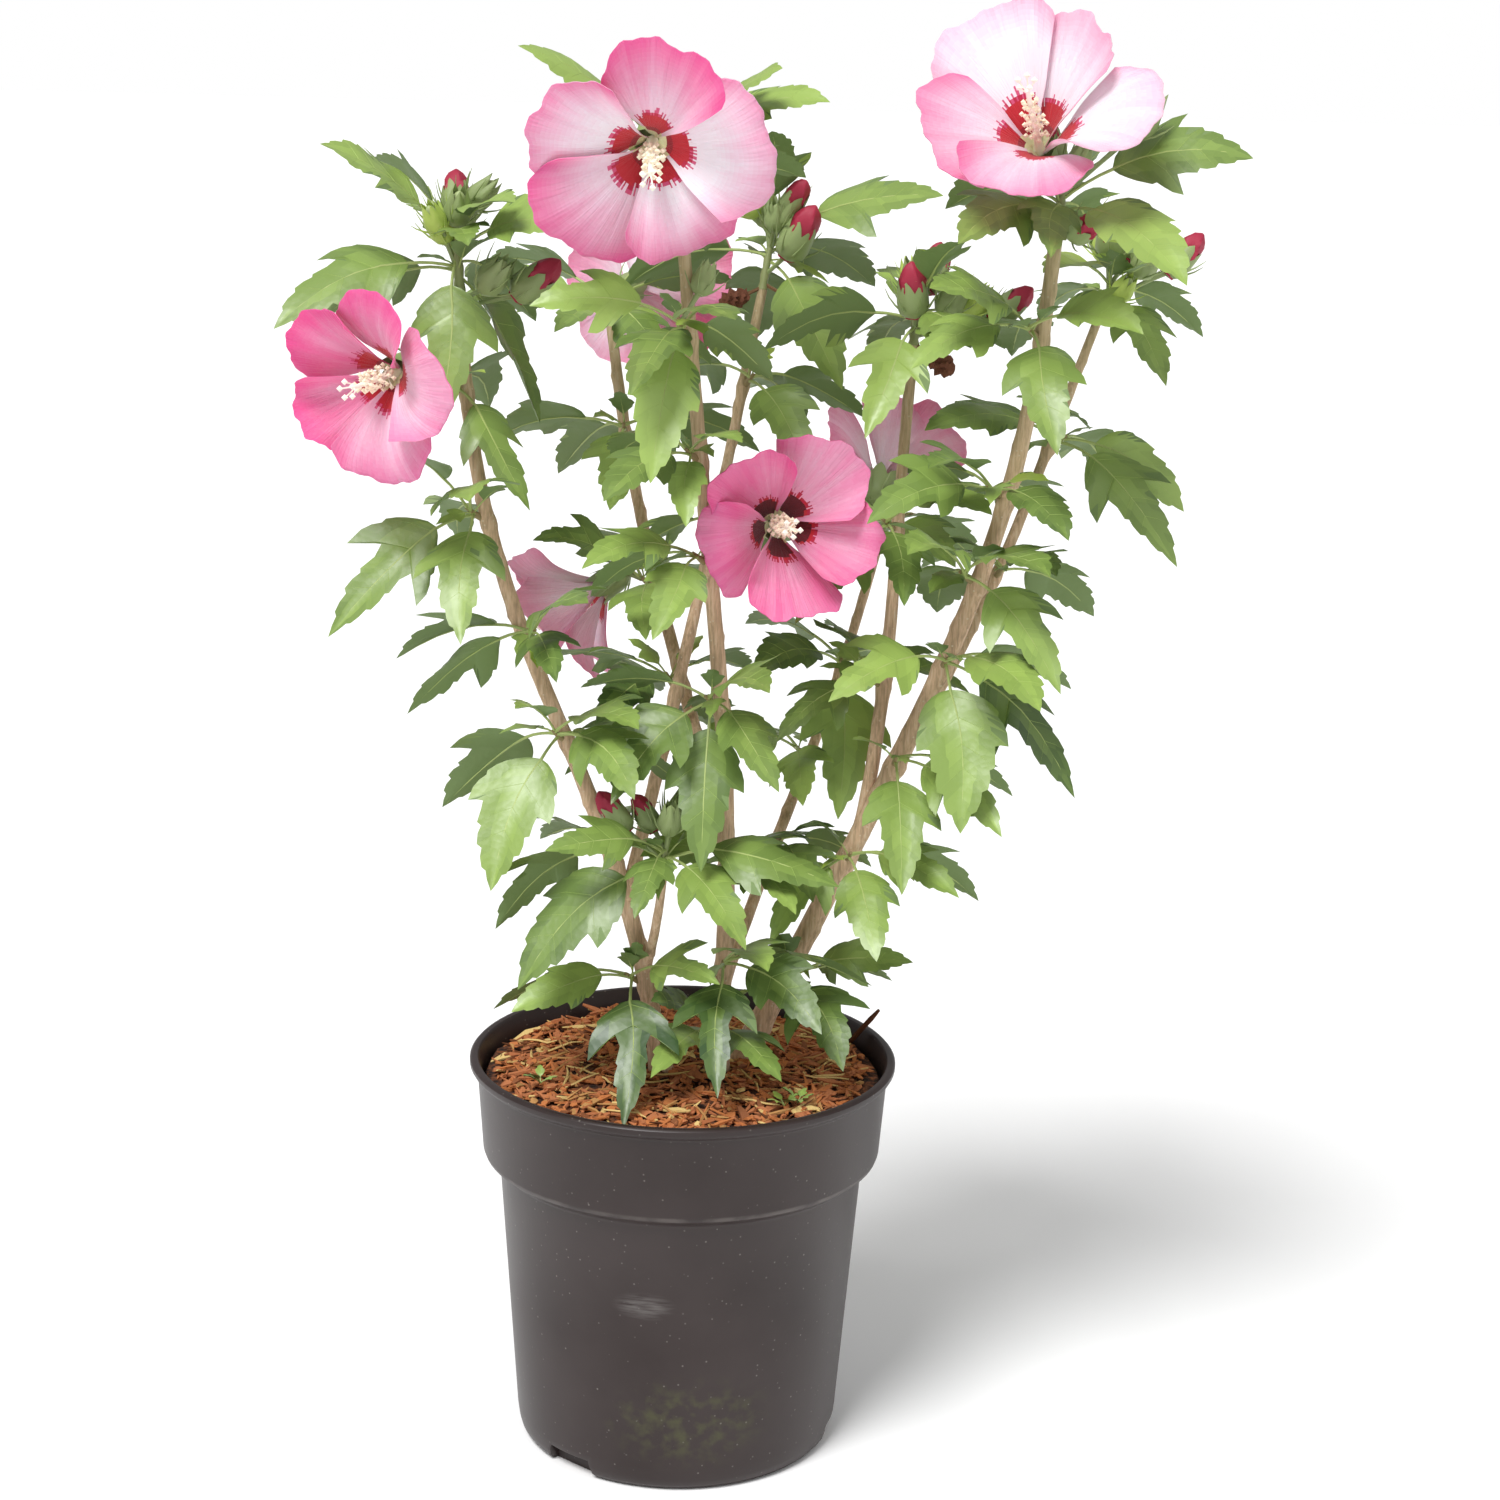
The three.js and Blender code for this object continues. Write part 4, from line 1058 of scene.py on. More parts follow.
def limb_mesh(name, number, relief):
    """A limb with ridged bark, a swelling where each spray leaves it, and the scars of old leaves."""
    rough = np.array([limb_point(name, share) for share in np.linspace(0, 1, 200)])
    length = np.linalg.norm(np.diff(rough, axis=0), axis=1).sum()
    shares = np.linspace(0, 1, int(length / RING_STEP))
    path = np.array([limb_point(name, share) for share in shares])
    if "parent" not in LIMBS[name]:
        path = np.vstack([path[:1] - UP * STEM_START, path])
        shares = np.concatenate([[0], shares])
    places = shares * length
    turns = round_turns(BARK_SIDES)
    radii = np.array([[girth_at(name, share)] * BARK_SIDES for share in shares])
    for ring, place in enumerate(places):
        for i, turn in enumerate(turns):
            x, y, apart = math.cos(turn), math.sin(turn), 10 * number
            ridge = noise.noise(Vector((3.1 * x + apart, 3.1 * y, place / RIDGE_LENGTH)))
            grain = noise.noise(Vector((6 * x, 6 * y + apart, place / GRAIN_LENGTH)))
            radii[ring, i] += relief * (1.2 * ridge + 0.8 * grain)
    if "parent" in LIMBS[name]:
        radii *= (1 + COLLAR["swelling"] * np.exp(-places / COLLAR["reach"]))[:, None]
    for spray in SPRAYS:
        if spray["limb"] == name and spray["at"] < 1:
            radii += (KNOT["height"] * bump_at(places, spray["at"] * length, KNOT["reach"]))[:, None]
    for scar in range(1, int(length / SCAR["step"])):
        middle = scar * SCAR["step"] + SCAR["scatter"] * chance(number, scar, 21)
        toward = math.radians(GOLDEN_TURN * scar)
        near = np.exp(3 * (np.cos(turns - toward) - 1))
        radii += SCAR["height"] * bump_at(places, middle, SCAR["reach"])[:, None] * near
    return tube(path, radii, BARK_SIDES)


class HIBISCUS_OT_limbs(bpy.types.Operator):
    """Grow the stems and boughs with their bark"""

    bl_idname = "hibiscus.limbs"
    bl_label = "Stems and boughs"

    def execute(self, context):
        scene = context.scene
        bark = bark_material(scene.shrub_colours)
        for number, name in enumerate(LIMBS):
            heap = Heap()
            heap.add(*limb_mesh(name, number, scene.shrub_sizes.bark_relief / MM))
            piece = heap.make(f"{name}_bark", [bark])
            finish_piece(piece, "bark", name)
        return {"FINISHED"}


TWIG_GIRTH = 1.7  # radius of a twig that leaves its limb's side; a crown's goes on from its limb's tip
TWIG_TAPER = 0.45
TWIG_KNOTS = 0.12  # how much thicker it is at its knots, as a share
TWIG_BEND = 0.02
BLOOM_STALK = (1.3, 1.15, 1.1, 1.1, 1.3, 1.8)  # its radii, and where on the twig it starts
BLOOM_STALK_START = 0.8


class HIBISCUS_OT_twigs(bpy.types.Operator):
    """Grow the spurs and green twigs that carry leaves, buds and blooms"""

    bl_idname = "hibiscus.twigs"
    bl_label = "Twigs"

    def execute(self, context):
        heap = Heap()
        for seed, spray in enumerate(SPRAYS):
            foot, tip = twig_ends(spray)
            crown = spray["at"] == 1
            thick = girth_at(spray["limb"], 1) if crown else TWIG_GIRTH
            steps = 9 if crown else 5
            shares = np.linspace(0, 1, steps)
            bend = heading(GOLDEN_TURN * seed, 0) * TWIG_BEND * np.linalg.norm(tip - foot)
            path = foot + (tip - foot) * shares[:, None] + np.sin(math.pi * shares)[:, None] * bend
            knots = 1 + TWIG_KNOTS * np.cos(math.pi * shares * (steps - 1))
            radii = thick * (1 - TWIG_TAPER * shares) * knots
            radii[-1] *= 0.7
            heap.add(*tube(path, radii, 8), 0 if crown else 1)
            if "bloom" in spray:
                start = foot + (tip - foot) * BLOOM_STALK_START
                end = calyx_base(spray["bloom"]) + bloom_axis(spray["bloom"]) * 2
                stalk = start + (end - start) * np.linspace(0, 1, len(BLOOM_STALK))[:, None]
                heap.add(*tube(stalk, BLOOM_STALK, 8), 0)
        materials = [
            soft_green_material("twig skin olive green", linear("#8B9460")),
            soft_green_material("spur bark tan green", linear("#93835A"), 0.7, 1.2),
        ]
        finish_piece(heap.make("twigs", materials), "bark")
        return {"FINISHED"}


# ------------------------------------------------------------------ leaves

# Half outlines of a blade from foot to tip: (half width, height) as shares of the blade's length. Each has
# its teeth at the same places in the list, so that a leaf's own outline is a blend of the two.
LOBED_EDGE = [
    (0.018, 0.0), (0.09, 0.03), (0.165, 0.085), (0.24, 0.145), (0.3, 0.2), (0.352, 0.262), (0.345, 0.3),
    (0.395, 0.355), (0.432, 0.425), (0.448, 0.54), (0.34, 0.478), (0.2, 0.405), (0.165, 0.49), (0.19, 0.6),
    (0.162, 0.618), (0.178, 0.675), (0.17, 0.745), (0.128, 0.762), (0.12, 0.82), (0.094, 0.875),
    (0.06, 0.89), (0.038, 0.94), (0.0, 1.0),
]
PLAIN_EDGE = [
    (0.018, 0.0), (0.09, 0.035), (0.165, 0.09), (0.228, 0.15), (0.27, 0.215), (0.3, 0.29), (0.285, 0.325),
    (0.312, 0.38), (0.325, 0.44), (0.322, 0.515), (0.28, 0.525), (0.275, 0.56), (0.285, 0.61), (0.272, 0.67),
    (0.222, 0.682), (0.228, 0.73), (0.208, 0.788), (0.158, 0.8), (0.155, 0.848), (0.122, 0.9),
    (0.08, 0.91), (0.055, 0.95), (0.0, 1.0),
]
BLADE_WIDTH = 0.9  # of the outlines' width
TOOTH_STATIONS = (5, 9, 13, 16)  # points of the outline that side veins run to
VEIN_SLANT = 0.72  # how far a side vein climbs for each unit that it runs outwards
BLADE_COLUMNS = 5
HALF_WAY = 0.52  # share of the half width at which a row bends between its midrib and its margin


def blade_faces(stations):
    """Faces of a closed blade, thin at its margins: the upper side, then the underside."""
    rows = stations - 1
    tip = rows * BLADE_COLUMNS
    upper = [[row * BLADE_COLUMNS + column for column in range(BLADE_COLUMNS)] for row in range(rows)]
    lower = []
    for number, row in enumerate(upper):
        under = tip + 1 + 3 * number
        lower.append([row[0], under, under + 1, under + 2, row[-1]])
    sides = []
    for grid in (upper, lower):
        grid = grid + [[tip] * BLADE_COLUMNS]
        quads = [
            [low[c], low[c + 1], high[c + 1], high[c]]
            for low, high in zip(grid, grid[1:])
            for c in range(BLADE_COLUMNS - 1)
        ]
        sides.append([list(dict.fromkeys(quad)) for quad in quads])
    foot = upper[0] + lower[0][-2:0:-1]
    return sides[0], [face[::-1] for face in sides[1]] + [foot]


class Blade:
    """The curved surface of one leaf blade."""

    def __init__(self, line, lobing, fold, keys, coarse):
        self.line = line
        self.length = line.reach * (1 - STALK_SHARE)
        lobed, plain = np.array(LOBED_EDGE), np.array(PLAIN_EDGE)
        self.edge = plain + (lobed - plain) * lobing
        self.edge[:, 0] *= BLADE_WIDTH * (1 + 0.12 * chance(*keys, 31))
        if coarse:
            self.edge = self.edge[::2]
        self.fold = fold * (1 + 0.6 * chance(*keys, 32))
        self.curl = 0.8 + 0.6 * chance(*keys, 33)
        self.phase = 3 * chance(*keys, 34)
        self.ripple = 0.026 + 0.016 * chance(*keys, 35)
        self.sweep = 0.06 * chance(*keys, 36)
        self.droop = 0.06 * (1 + chance(*keys, 37))

    def place(self, across, up):
        """Points and normals at half widths (negative to the left) and heights, as shares of the length."""
        across, up = np.asarray(across, float), np.asarray(up, float)
        points, side, face = self.line.frames(STALK_SHARE + (1 - STALK_SHARE) * up)
        reach = np.abs(across)
        rise = self.fold * reach - self.curl * reach**2
        rise += self.ripple * np.sin(11 * up + self.phase + 1.5 * np.sign(across)) * reach / 0.35
        rise -= self.droop * reach * up
        shift = across + self.sweep * np.sin(math.pi * up)
        points = points + side * (shift * self.length)[:, None] + face * (rise * self.length)[:, None]
        return points, face

    def grid(self):
        """Corners of the upper side, row by row from left margin to right margin, ending with the tip."""
        across, up = [], []
        climbed = -0.01
        for half, height in self.edge[:-1]:
            foot = max(climbed + 0.005, height - VEIN_SLANT * half)
            climbed = foot
            middle = foot + (height - foot) * 0.5
            across += [-half, -half * HALF_WAY, 0, half * HALF_WAY, half]
            up += [height, middle, foot, middle, height]
        return self.place(across + [0], up + [1])


FINE_BLADE = blade_faces(len(LOBED_EDGE))
COARSE_BLADE = blade_faces(len(LOBED_EDGE[::2]))


LOWEST_LEAF = 200  # heights of a leaf's tip just over the pot's rim and in the crown
HIGHEST_LEAF = 530


def lit_share(line):
    """How high a leaf is in the shrub, from about 0 at the pot's rim to 1 in the crown."""
    return (line.tip[2] - LOWEST_LEAF) / (HIGHEST_LEAF - LOWEST_LEAF)


# Turns and rises, in degrees, by which a leaf is turned aside, one after another, until it crosses nothing.
ROOM_TURN, ROOM_RISE, ROOM_STEPS = 8, 4, 6
ROOM_TRIES = [(0, 0)] + [
    (ROOM_TURN * size * a, ROOM_RISE * size * b)
    for size in range(1, ROOM_STEPS + 1)
    for a, b in ((1, 1), (-1, 1), (1, -1), (-1, -1))
]


class Room:
    """What the leaves keep clear of: petals, limbs, buds, and the leaves that are already in their places."""

    def __init__(self, settings):
        self.trees, self.lows, self.highs = [], [], []
        for seed, spray in enumerate(SPRAYS):
            for index in range(PETALS if "bloom" in spray else 0):
                points, _ = petal_points(spray, index, (seed, index), settings)
                self.fill(points, PETAL_FACES)
        for number, name in enumerate(LIMBS):
            self.fill(*limb_mesh(name, number, settings.bark_relief / MM))
        for heap in grow_buds():
            self.fill(np.vstack(heap.points), heap.faces)

    def fill(self, points, faces):
        """Takes up the room of a closed form."""
        self.trees.append(BVHTree.FromPolygons(points.tolist(), faces))
        self.lows.append(points.min(axis=0))
        self.highs.append(points.max(axis=0))

    def crossings(self, points, faces):
        """How many pairs of faces cross where a closed form takes this place."""
        own = BVHTree.FromPolygons(points.tolist(), faces)
        apart = (np.array(self.lows) > points.max(axis=0)) | (np.array(self.highs) < points.min(axis=0))
        return sum(len(own.overlap(self.trees[index])) for index in np.flatnonzero(~apart.any(axis=1)))


LOW_LOBING = 1.3  # of the leaves near the pot, and how much of it is lost up to the crown
LOBING_LOSS = 0.5
VEIN_REACH = 0.8  # share of the way from the bend of a row to its margin at which a side vein ends
VEIN_WIDTHS = (0.2, 0.15, 0.06)


def add_leaf(blades, veins, room, course, keys, tints, settings, coarse=False):
    """Adds one leaf's blade to the blades, and its stalk, midrib and side veins to the veins.

    It is turned aside where it would cross what is there, and a young leaf that finds no room doesn't grow.
    A coarse leaf has half as many teeth and no side veins.
    """
    joint, turn, rise, reach, tilt = course
    upper_faces, lower_faces = COARSE_BLADE if coarse else FINE_BLADE
    found = None
    for aside, higher in ROOM_TRIES:
        line = LeafLine(joint, turn + aside, rise + higher, reach, tilt)
        lobing = (LOW_LOBING - LOBING_LOSS * lit_share(line)) * share_of(*keys, 30) ** 0.5
        blade = Blade(line, lobing, settings.leaf_fold, keys, coarse)
        top, face = blade.grid()
        inner = [row * BLADE_COLUMNS + column for row in range(len(blade.edge) - 1) for column in (1, 2, 3)]
        points = np.vstack([top, top[inner] - face[inner] * (settings.leaf_thickness / MM)])
        crossed = room.crossings(points, upper_faces + lower_faces)
        if found is None or crossed < found[0]:
            found = (crossed, blade, points, top, face)
        if crossed == 0:
            break
    crossed, blade, points, top, face = found
    if coarse and crossed:
        return
    room.fill(points, upper_faces + lower_faces)
    slots = blade_light_and_shade_slots(tints[0], keys, upper_faces) + [tints[1]] * len(lower_faces)
    blades.add(points, upper_faces + lower_faces, slots)
    add_midrib(veins, blade)
    if coarse:
        return
    for station in TOOTH_STATIONS:
        row = slice(station * BLADE_COLUMNS, (station + 1) * BLADE_COLUMNS)
        for middle, half_way, margin in ((2, 1, 0), (2, 3, 4)):
            path = top[row][[middle, half_way, margin]]
            path[2] = path[1] + (path[2] - path[1]) * VEIN_REACH
            add_vein(veins, path, face[row][[middle, half_way, margin]], VEIN_WIDTHS)


MIDRIB_RADII = (1.0, 0.72, 0.66, 0.68, 0.74, 0.54, 0.46, 0.38, 0.3, 0.15)
MIDRIB_HEIGHTS = (0.02, 0.2, 0.4, 0.6, 0.8, 0.95)
MIDRIB_SINK = 0.2


def add_midrib(veins, blade):
    """The stalk from the joint to the blade's foot, and the midrib on from there to near the tip."""
    stalk, _, _ = blade.line.frames(np.linspace(0, STALK_SHARE, 5)[:-1])
    rib, face = blade.place(np.zeros(len(MIDRIB_HEIGHTS)), MIDRIB_HEIGHTS)
    path = np.vstack([stalk, rib - face * MIDRIB_SINK])
    scale = min(1, 0.35 + 0.65 * blade.line.reach / LEAF_REACH)
    veins.add(*tube(path, np.array(MIDRIB_RADII) * scale, 5))


VEIN_FACES = ring_faces(3, 3)
VEIN_SINK = 0.12


def add_vein(veins, path, normals, widths):
    """A low three-sided ridge along a side vein."""
    along = np.gradient(path, axis=0)
    side = np.cross(along, normals)
    side /= np.linalg.norm(side, axis=1, keepdims=True)
    points = []
    for spot, sideways, normal, width in zip(path, side, normals, widths):
        low = spot - normal * VEIN_SINK
        points += [low - sideways * width, low + sideways * width, spot + normal * width * 0.45]
    veins.add(points, VEIN_FACES, 1)


# A leaf's tint climbs with its height: partly the darker green of older leaves, partly painted shade near the
# pot and painted light in the crown.
LOW_TINT = 6.2  # tint of a leaf near the pot, how much brighter one in the crown is, and how far chance goes
TINT_CLIMB = 3.4
TINT_SCATTER = 4.6
YOUNG_LEAVES = 2  # how many leaves at the end of a crown may be young


def leaf_tint(course, seed, index):
    """Leaves are darker low down and brighter high up, partly age and partly painted shade and light; some are
    young at the crown's very tips.
    """
    spray = SPRAYS[seed]
    last = spray["at"] == 1 and index >= len(spray["leaves"]) - YOUNG_LEAVES
    if last and share_of(seed, index, 39) > 0.35:
        return LEAF_STEPS + (share_of(seed, index, 40) > 0.55)
    tint = LOW_TINT + TINT_CLIMB * lit_share(LeafLine(*course)) + TINT_SCATTER * chance(seed, index, 38)
    return min(LEAF_STEPS - 1, max(0, tint))


# Painted light and shade on a blade's upper side: steps paler along the midrib, darker towards the margins, and
# clouds of painted light and shade over the rest.
RIB_PALENESS = 0.6  # in steps of the tints
CLOUDING = 2.4


def blade_light_and_shade_slots(tint, keys, faces):
    """Slots of a blade's upper faces, with painted light and shade: paler along the midrib, darker at the
    margins, clouded.
    """
    if tint >= LEAF_STEPS:
        return [int(tint)] * len(faces)
    slots = []
    for number in range(len(faces)):
        row, column = divmod(number, BLADE_COLUMNS - 1)
        cloud = CLOUDING * noise.noise(Vector((0.3 * row + 9 * keys[0], 0.7 * column, 5 * keys[1])))
        paler = RIB_PALENESS if column in (1, 2) else -RIB_PALENESS
        slots.append(min(LEAF_STEPS - 1, max(0, round(tint + paler + cloud))))
    return slots


SEEDLINGS = [(44, -54), (50, -49), (-62, -32)]  # where weeds have come up in the mulch
SMALL_LEAF_KEY = 100  # so that chance doesn't give these the same numbers as the full-grown leaves
SEEDLING_KEY = 60


def small_leaves():
    """Courses of the young leaves in the sprays' axils, and of the seedlings' leaves."""
    courses = []
    for seed, spray in enumerate(SPRAYS):
        for k in range(4 if spray["at"] == 1 else 2):
            leaf = k % len(spray["leaves"])
            turn = spray["leaves"][leaf][0] + 60 * chance(seed, k, 51)
            rise = 12 + 38 * chance(seed, k, 52)
            reach = 24 + 9 * chance(seed, k, 53)
            course = (leaf_joint(spray, leaf), turn, rise, reach, 25 * chance(seed, k, 54))
            courses.append((course, seed, SMALL_LEAF_KEY + k))
    for number, (x, y) in enumerate(SEEDLINGS):
        foot = np.array([x, y, soil_height(x, y) + 3])
        for k in range(4):
            course = (foot, 90 * k + 40 * chance(number, k, 56), 30 + 15 * chance(number, k, 57), 8 + k, 0)
            courses.append((course, SEEDLING_KEY + number, k))
    return courses


class HIBISCUS_OT_leaves(bpy.types.Operator):
    """Grow the lobed and toothed leaves with their stalks and veins"""

    bl_idname = "hibiscus.leaves"
    bl_label = "Leaves"

    def execute(self, context):
        scene = context.scene
        materials = leaf_materials(scene.shrub_colours)
        underside = len(materials) - 1
        blades, veins = Heap(), Heap()
        room = Room(scene.shrub_sizes)
        sizes = scene.shrub_sizes
        for course, seed, index in grown_leaves():
            tints = leaf_tint(course, seed, index), underside
            add_leaf(blades, veins, room, course, (seed, index), tints, sizes)
        for course, seed, index in small_leaves():
            tints = LEAF_STEPS - 4 + 5 * share_of(seed, index, 55), underside
            add_leaf(blades, veins, room, course, (seed, index), tints, sizes, coarse=True)
        nodes = [spray["name"] for spray in SPRAYS]
        finish_piece(blades.make("leaf_blades", materials), "foliage", *nodes)
        pale = tuple(scene.shrub_colours.leaf_vein)
        ribs = [
            soft_green_material("leaf stalk pale green", pale),
            soft_green_material("leaf side vein green", mixed(pale, scene.shrub_colours.leaf_bright, 0.7)),
        ]
        finish_piece(veins.make("leaf_stalks_and_veins", ribs), "foliage")
        return {"FINISHED"}


# ------------------------------------------------------------------ blooms

PETAL_COLUMNS = 40
PETAL_ROWS = 30
CLAW_HALF_TURN = 32  # half width of a petal at its foot and where it is widest, in degrees round the axis
PETAL_HALF_TURN = 44
THROAT_SHARE = 0.1  # of a petal's length: the pale throat, the dark foot of the eye, the eye and its rays
EYE_FOOT_SHARE = 0.17
EYE_SHARE = 0.33
RAY_SHARE = 0.09
EYE_WIDTH = 0.76  # of a petal's half width
EYE_SLOT = PINK_STEPS
THROAT_SLOT = EYE_SLOT + 5
# How deep the pink of a spray's bloom is, as a share of the way from pale to deep, how strongly its petals
# are ruffled, how much deeper its margins are, and how many steps darker its eye is. The middle bloom's
# darker eye is partly painted shade.
BLOOM_LOOKS = {
    "left_bloom": dict(depth=0.36, ruffling=1.5, margin=0.35, darker=0),
    "centre_crown": dict(depth=-0.04, ruffling=1.5, margin=0.72, darker=0),
    "back_left_crown": dict(depth=0.14, ruffling=1.1, margin=0.5, darker=0),
    "back_left_bloom": dict(depth=0.28, ruffling=1.7, margin=0.4, darker=0),
    "middle_bloom": dict(depth=0.66, ruffling=1.5, margin=0.16, darker=1),
    "low_right_crown": dict(depth=0.32, ruffling=1.6, margin=0.4, darker=0),
    "right_crown": dict(depth=-0.1, ruffling=0.9, margin=0.48, darker=0),
}
OPENING_SCATTER = 6  # degrees by which chance opens or closes a petal
WIDEST_AT = 0.5  # share of a petal's length


def petal_faces(columns, rows):
    """Faces of a thin closed petal: its front, its back, and its edge."""
    wide = columns + 1
    back = wide * (rows + 1)
    front_faces = []
    for row in range(rows):
        low, high = row * wide, (row + 1) * wide
        front_faces += [[low + c, low + c + 1, high + c + 1, high + c] for c in range(columns)]
    back_faces = [[corner + back for corner in face[::-1]] for face in front_faces]
    rim = [(c, c + 1) for c in range(columns)]
    rim += [(columns + r * wide, columns + (r + 1) * wide) for r in range(rows)]
    rim += [(rows * wide + c + 1, rows * wide + c) for c in range(columns)]
    rim += [((r + 1) * wide, r * wide) for r in range(rows)]
    return front_faces + back_faces + [[b, a, a + back, b + back] for a, b in rim]


PETAL_FACES = petal_faces(PETAL_COLUMNS, PETAL_ROWS)


def risen(values, start):
    """0 as far as the start, and from there on rising smoothly to 1."""
    return np.clip((values - start) / (1 - start), 0, 1) ** 2


def petal_points(spray, index, keys, settings):
    """Corners of a petal's front and back, and flat places for the pattern of its ribs.

    x goes from -1 to 1 across the petal, and y from 0 at its foot to 1 at its margin. The petal leaves the
    throat steeply, and opens along an arc to its ruffled end.
    """
    bloom = spray["bloom"]
    axis = bloom_axis(bloom)
    side = np.cross(UP, heading(bloom["turn"], 0))
    start = np.cross(axis, side)
    x, y = np.meshgrid(np.linspace(-1, 1, PETAL_COLUMNS + 1), np.linspace(0, 1, PETAL_ROWS + 1))
    x, y = x.ravel(), y.ravel()
    first = math.radians(THROAT_LEAN)
    opened = math.radians(bloom["open"] + OPENING_SCATTER * chance(*keys, 61))
    bend = (opened - first) / bloom["petal"]
    phase, other = 3 * chance(*keys, 63), 3 * chance(*keys, 64)

    # The outline: a round margin with scallops and one notch, on a claw that widens as far as half way.
    rounding = 0.07 * x**2 + 0.16 * x**4 + 0.05 * x * chance(*keys, 65)
    scallops = 0.03 * np.cos(5 * x + phase) + 0.014 * np.cos(13 * x + other) + 0.007 * np.cos(31 * x + phase)
    notch = 0.035 * share_of(*keys, 67) * bump_at(x, 0.3 * chance(*keys, 68), 0.16)
    along = (0.94 + 0.08 * chance(*keys, 62)) * y * (1 - rounding * y - (scallops + notch) * y**6)
    widened = np.clip(y / WIDEST_AT, 0, 1)
    half_turn = CLAW_HALF_TURN + (PETAL_HALF_TURN - CLAW_HALF_TURN) * widened**2 * (3 - 2 * widened)

    # The arc that it opens along, and the way that its front faces.
    lean = first + (opened - first) * along
    middle = bloom["roll"] + 360 / PETALS * index + 5 * chance(*keys, 69)
    turn = np.radians(middle + x * half_turn * (1 + 0.1 * chance(*keys, 73)))
    outward = np.cos(turn)[:, None] * start + np.sin(turn)[:, None] * side
    out = THROAT_RADIUS + (math.cos(first) - np.cos(lean)) / bend
    rise = (np.sin(lean) - math.sin(first)) / bend
    inward = axis * np.sin(lean)[:, None] - outward * np.cos(lean)[:, None]

    # Its relief: one side lies over the next petal, the margin waves, and the end rolls back.
    overlap = (2.6 * x + 2.2 * x**3) * (0.2 + 0.8 * y)
    edge_wave = 0.35 * np.abs(x) ** 1.5 * np.sin(8 * x + other + 4 * y)
    ruffle = BLOOM_LOOKS[spray["name"]]["ruffling"] * settings.petal_ruffle / MM
    wave = ruffle * y**2.4 * (0.7 * np.sin(3.6 * x + phase) + edge_wave)
    crease = 0.22 * y * np.cos(23 * x + phase) * (1 - 0.4 * y)
    rolled = (2 + 5 * chance(*keys, 66)) * risen(y, 0.62) * (1 - np.abs(x) ** 3)
    raised = 5.5 * share_of(*keys, 74) * risen(x, 0.35) * y
    lowered = 2.5 * share_of(*keys, 75) * risen(-x, 0.35) * y
    lift = overlap + wave + crease - rolled + raised - lowered

    points = np.array(bloom["heart"]) + axis * rise[:, None] + outward * out[:, None] + inward * lift[:, None]
    back = points - inward * settings.petal_thickness / MM
    return np.vstack([points, back]), np.vstack([np.stack([x + 2 * index, y], 1)] * 2)


def pink_step(share):
    """The material slot of a pink, from a share of the way from pale to deep."""
    return round(min(1, max(0, share)) * (PINK_STEPS - 1))


DEPTH_SCATTER = 0.25  # how far chance takes a petal's pink, as a share of the way from pale to deep
STREAKING = 0.1
CLOUDS = 0.16
MARGIN_START = 0.3  # share of a petal's length from which its pink deepens to the margin


def petal_slots(look, keys):
    """Material slots of a petal's faces: the throat, the rayed eye, and the pink, deeper at the margin."""
    front, back = [], []
    depth = look["depth"] + DEPTH_SCATTER * chance(*keys, 70)
    # A darker eye takes the near-black crimson, which is partly painted shade.
    eye_foot = EYE_SLOT + 1 - look["darker"]
    eye = eye_foot + 1 - look["darker"]
    rays = [RAY_SHARE * share_of(*keys, c, 72) for c in range(PETAL_COLUMNS)]
    for r in range(PETAL_ROWS):
        y = (r + 0.5) / PETAL_ROWS
        for c in range(PETAL_COLUMNS):
            x = 2 * (c + 0.5) / PETAL_COLUMNS - 1
            in_eye = abs(x) <= EYE_WIDTH
            body = EYE_SHARE * (1 - 0.3 * abs(x) ** 3)
            streak = STREAKING * noise.noise(Vector((9 * x + 5 * keys[1], 0.7 * y, 7 * keys[0])))
            cloud = CLOUDS * noise.noise(Vector((1.6 * x + 7 * keys[0], 2.2 * y, 5 * keys[1])))
            deeper = look["margin"] * max(0, (y - MARGIN_START) / (1 - MARGIN_START)) ** 1.6
            pink = depth + 0.04 + deeper + 0.2 * abs(x) ** 3 * y + streak + cloud
            if y < THROAT_SHARE or (not in_eye and y < 0.55 * EYE_SHARE):
                front.append(THROAT_SLOT)
            elif in_eye and y < EYE_FOOT_SHARE:
                front.append(eye_foot)
            elif in_eye and y < body:
                front.append(eye)
            elif abs(x) <= EYE_WIDTH + 0.06 and y < body + rays[c]:
                front.append(eye_foot + (2 if y < body + 0.5 * rays[c] else 3))
            else:
                front.append(pink_step(pink))
            back.append(pink_step(0.75 * pink + 0.1))
    rim = len(PETAL_FACES) - len(front) - len(back)
    return front + back + [pink_step(0.6 + depth)] * rim


BEAD = np.array([(0, 0, 1), (1, 0, 0), (0, 1, 0), (-1, 0, 0), (0, -1, 0), (0, 0, -1)])
BEAD_FACES = [[0, 1, 2], [0, 2, 3], [0, 3, 4], [0, 4, 1], [5, 2, 1], [5, 3, 2], [5, 4, 3], [5, 1, 4]]


def add_bead(heap, centre, radius, slot):
    """A small eight-sided bead, such as an anther or a stigma."""
    heap.add(BEAD * radius + centre, BEAD_FACES, slot)


def splayed(axis, turn, lean):
    """The way that leans away from an axis, at a turn round it, both in degrees."""
    local = Matrix.Rotation(math.radians(turn), 3, "Z") @ Matrix.Rotation(math.radians(lean), 3, "Y")
    return standing([local @ Vector((0, 0, 1))], np.zeros(3), axis)[0]


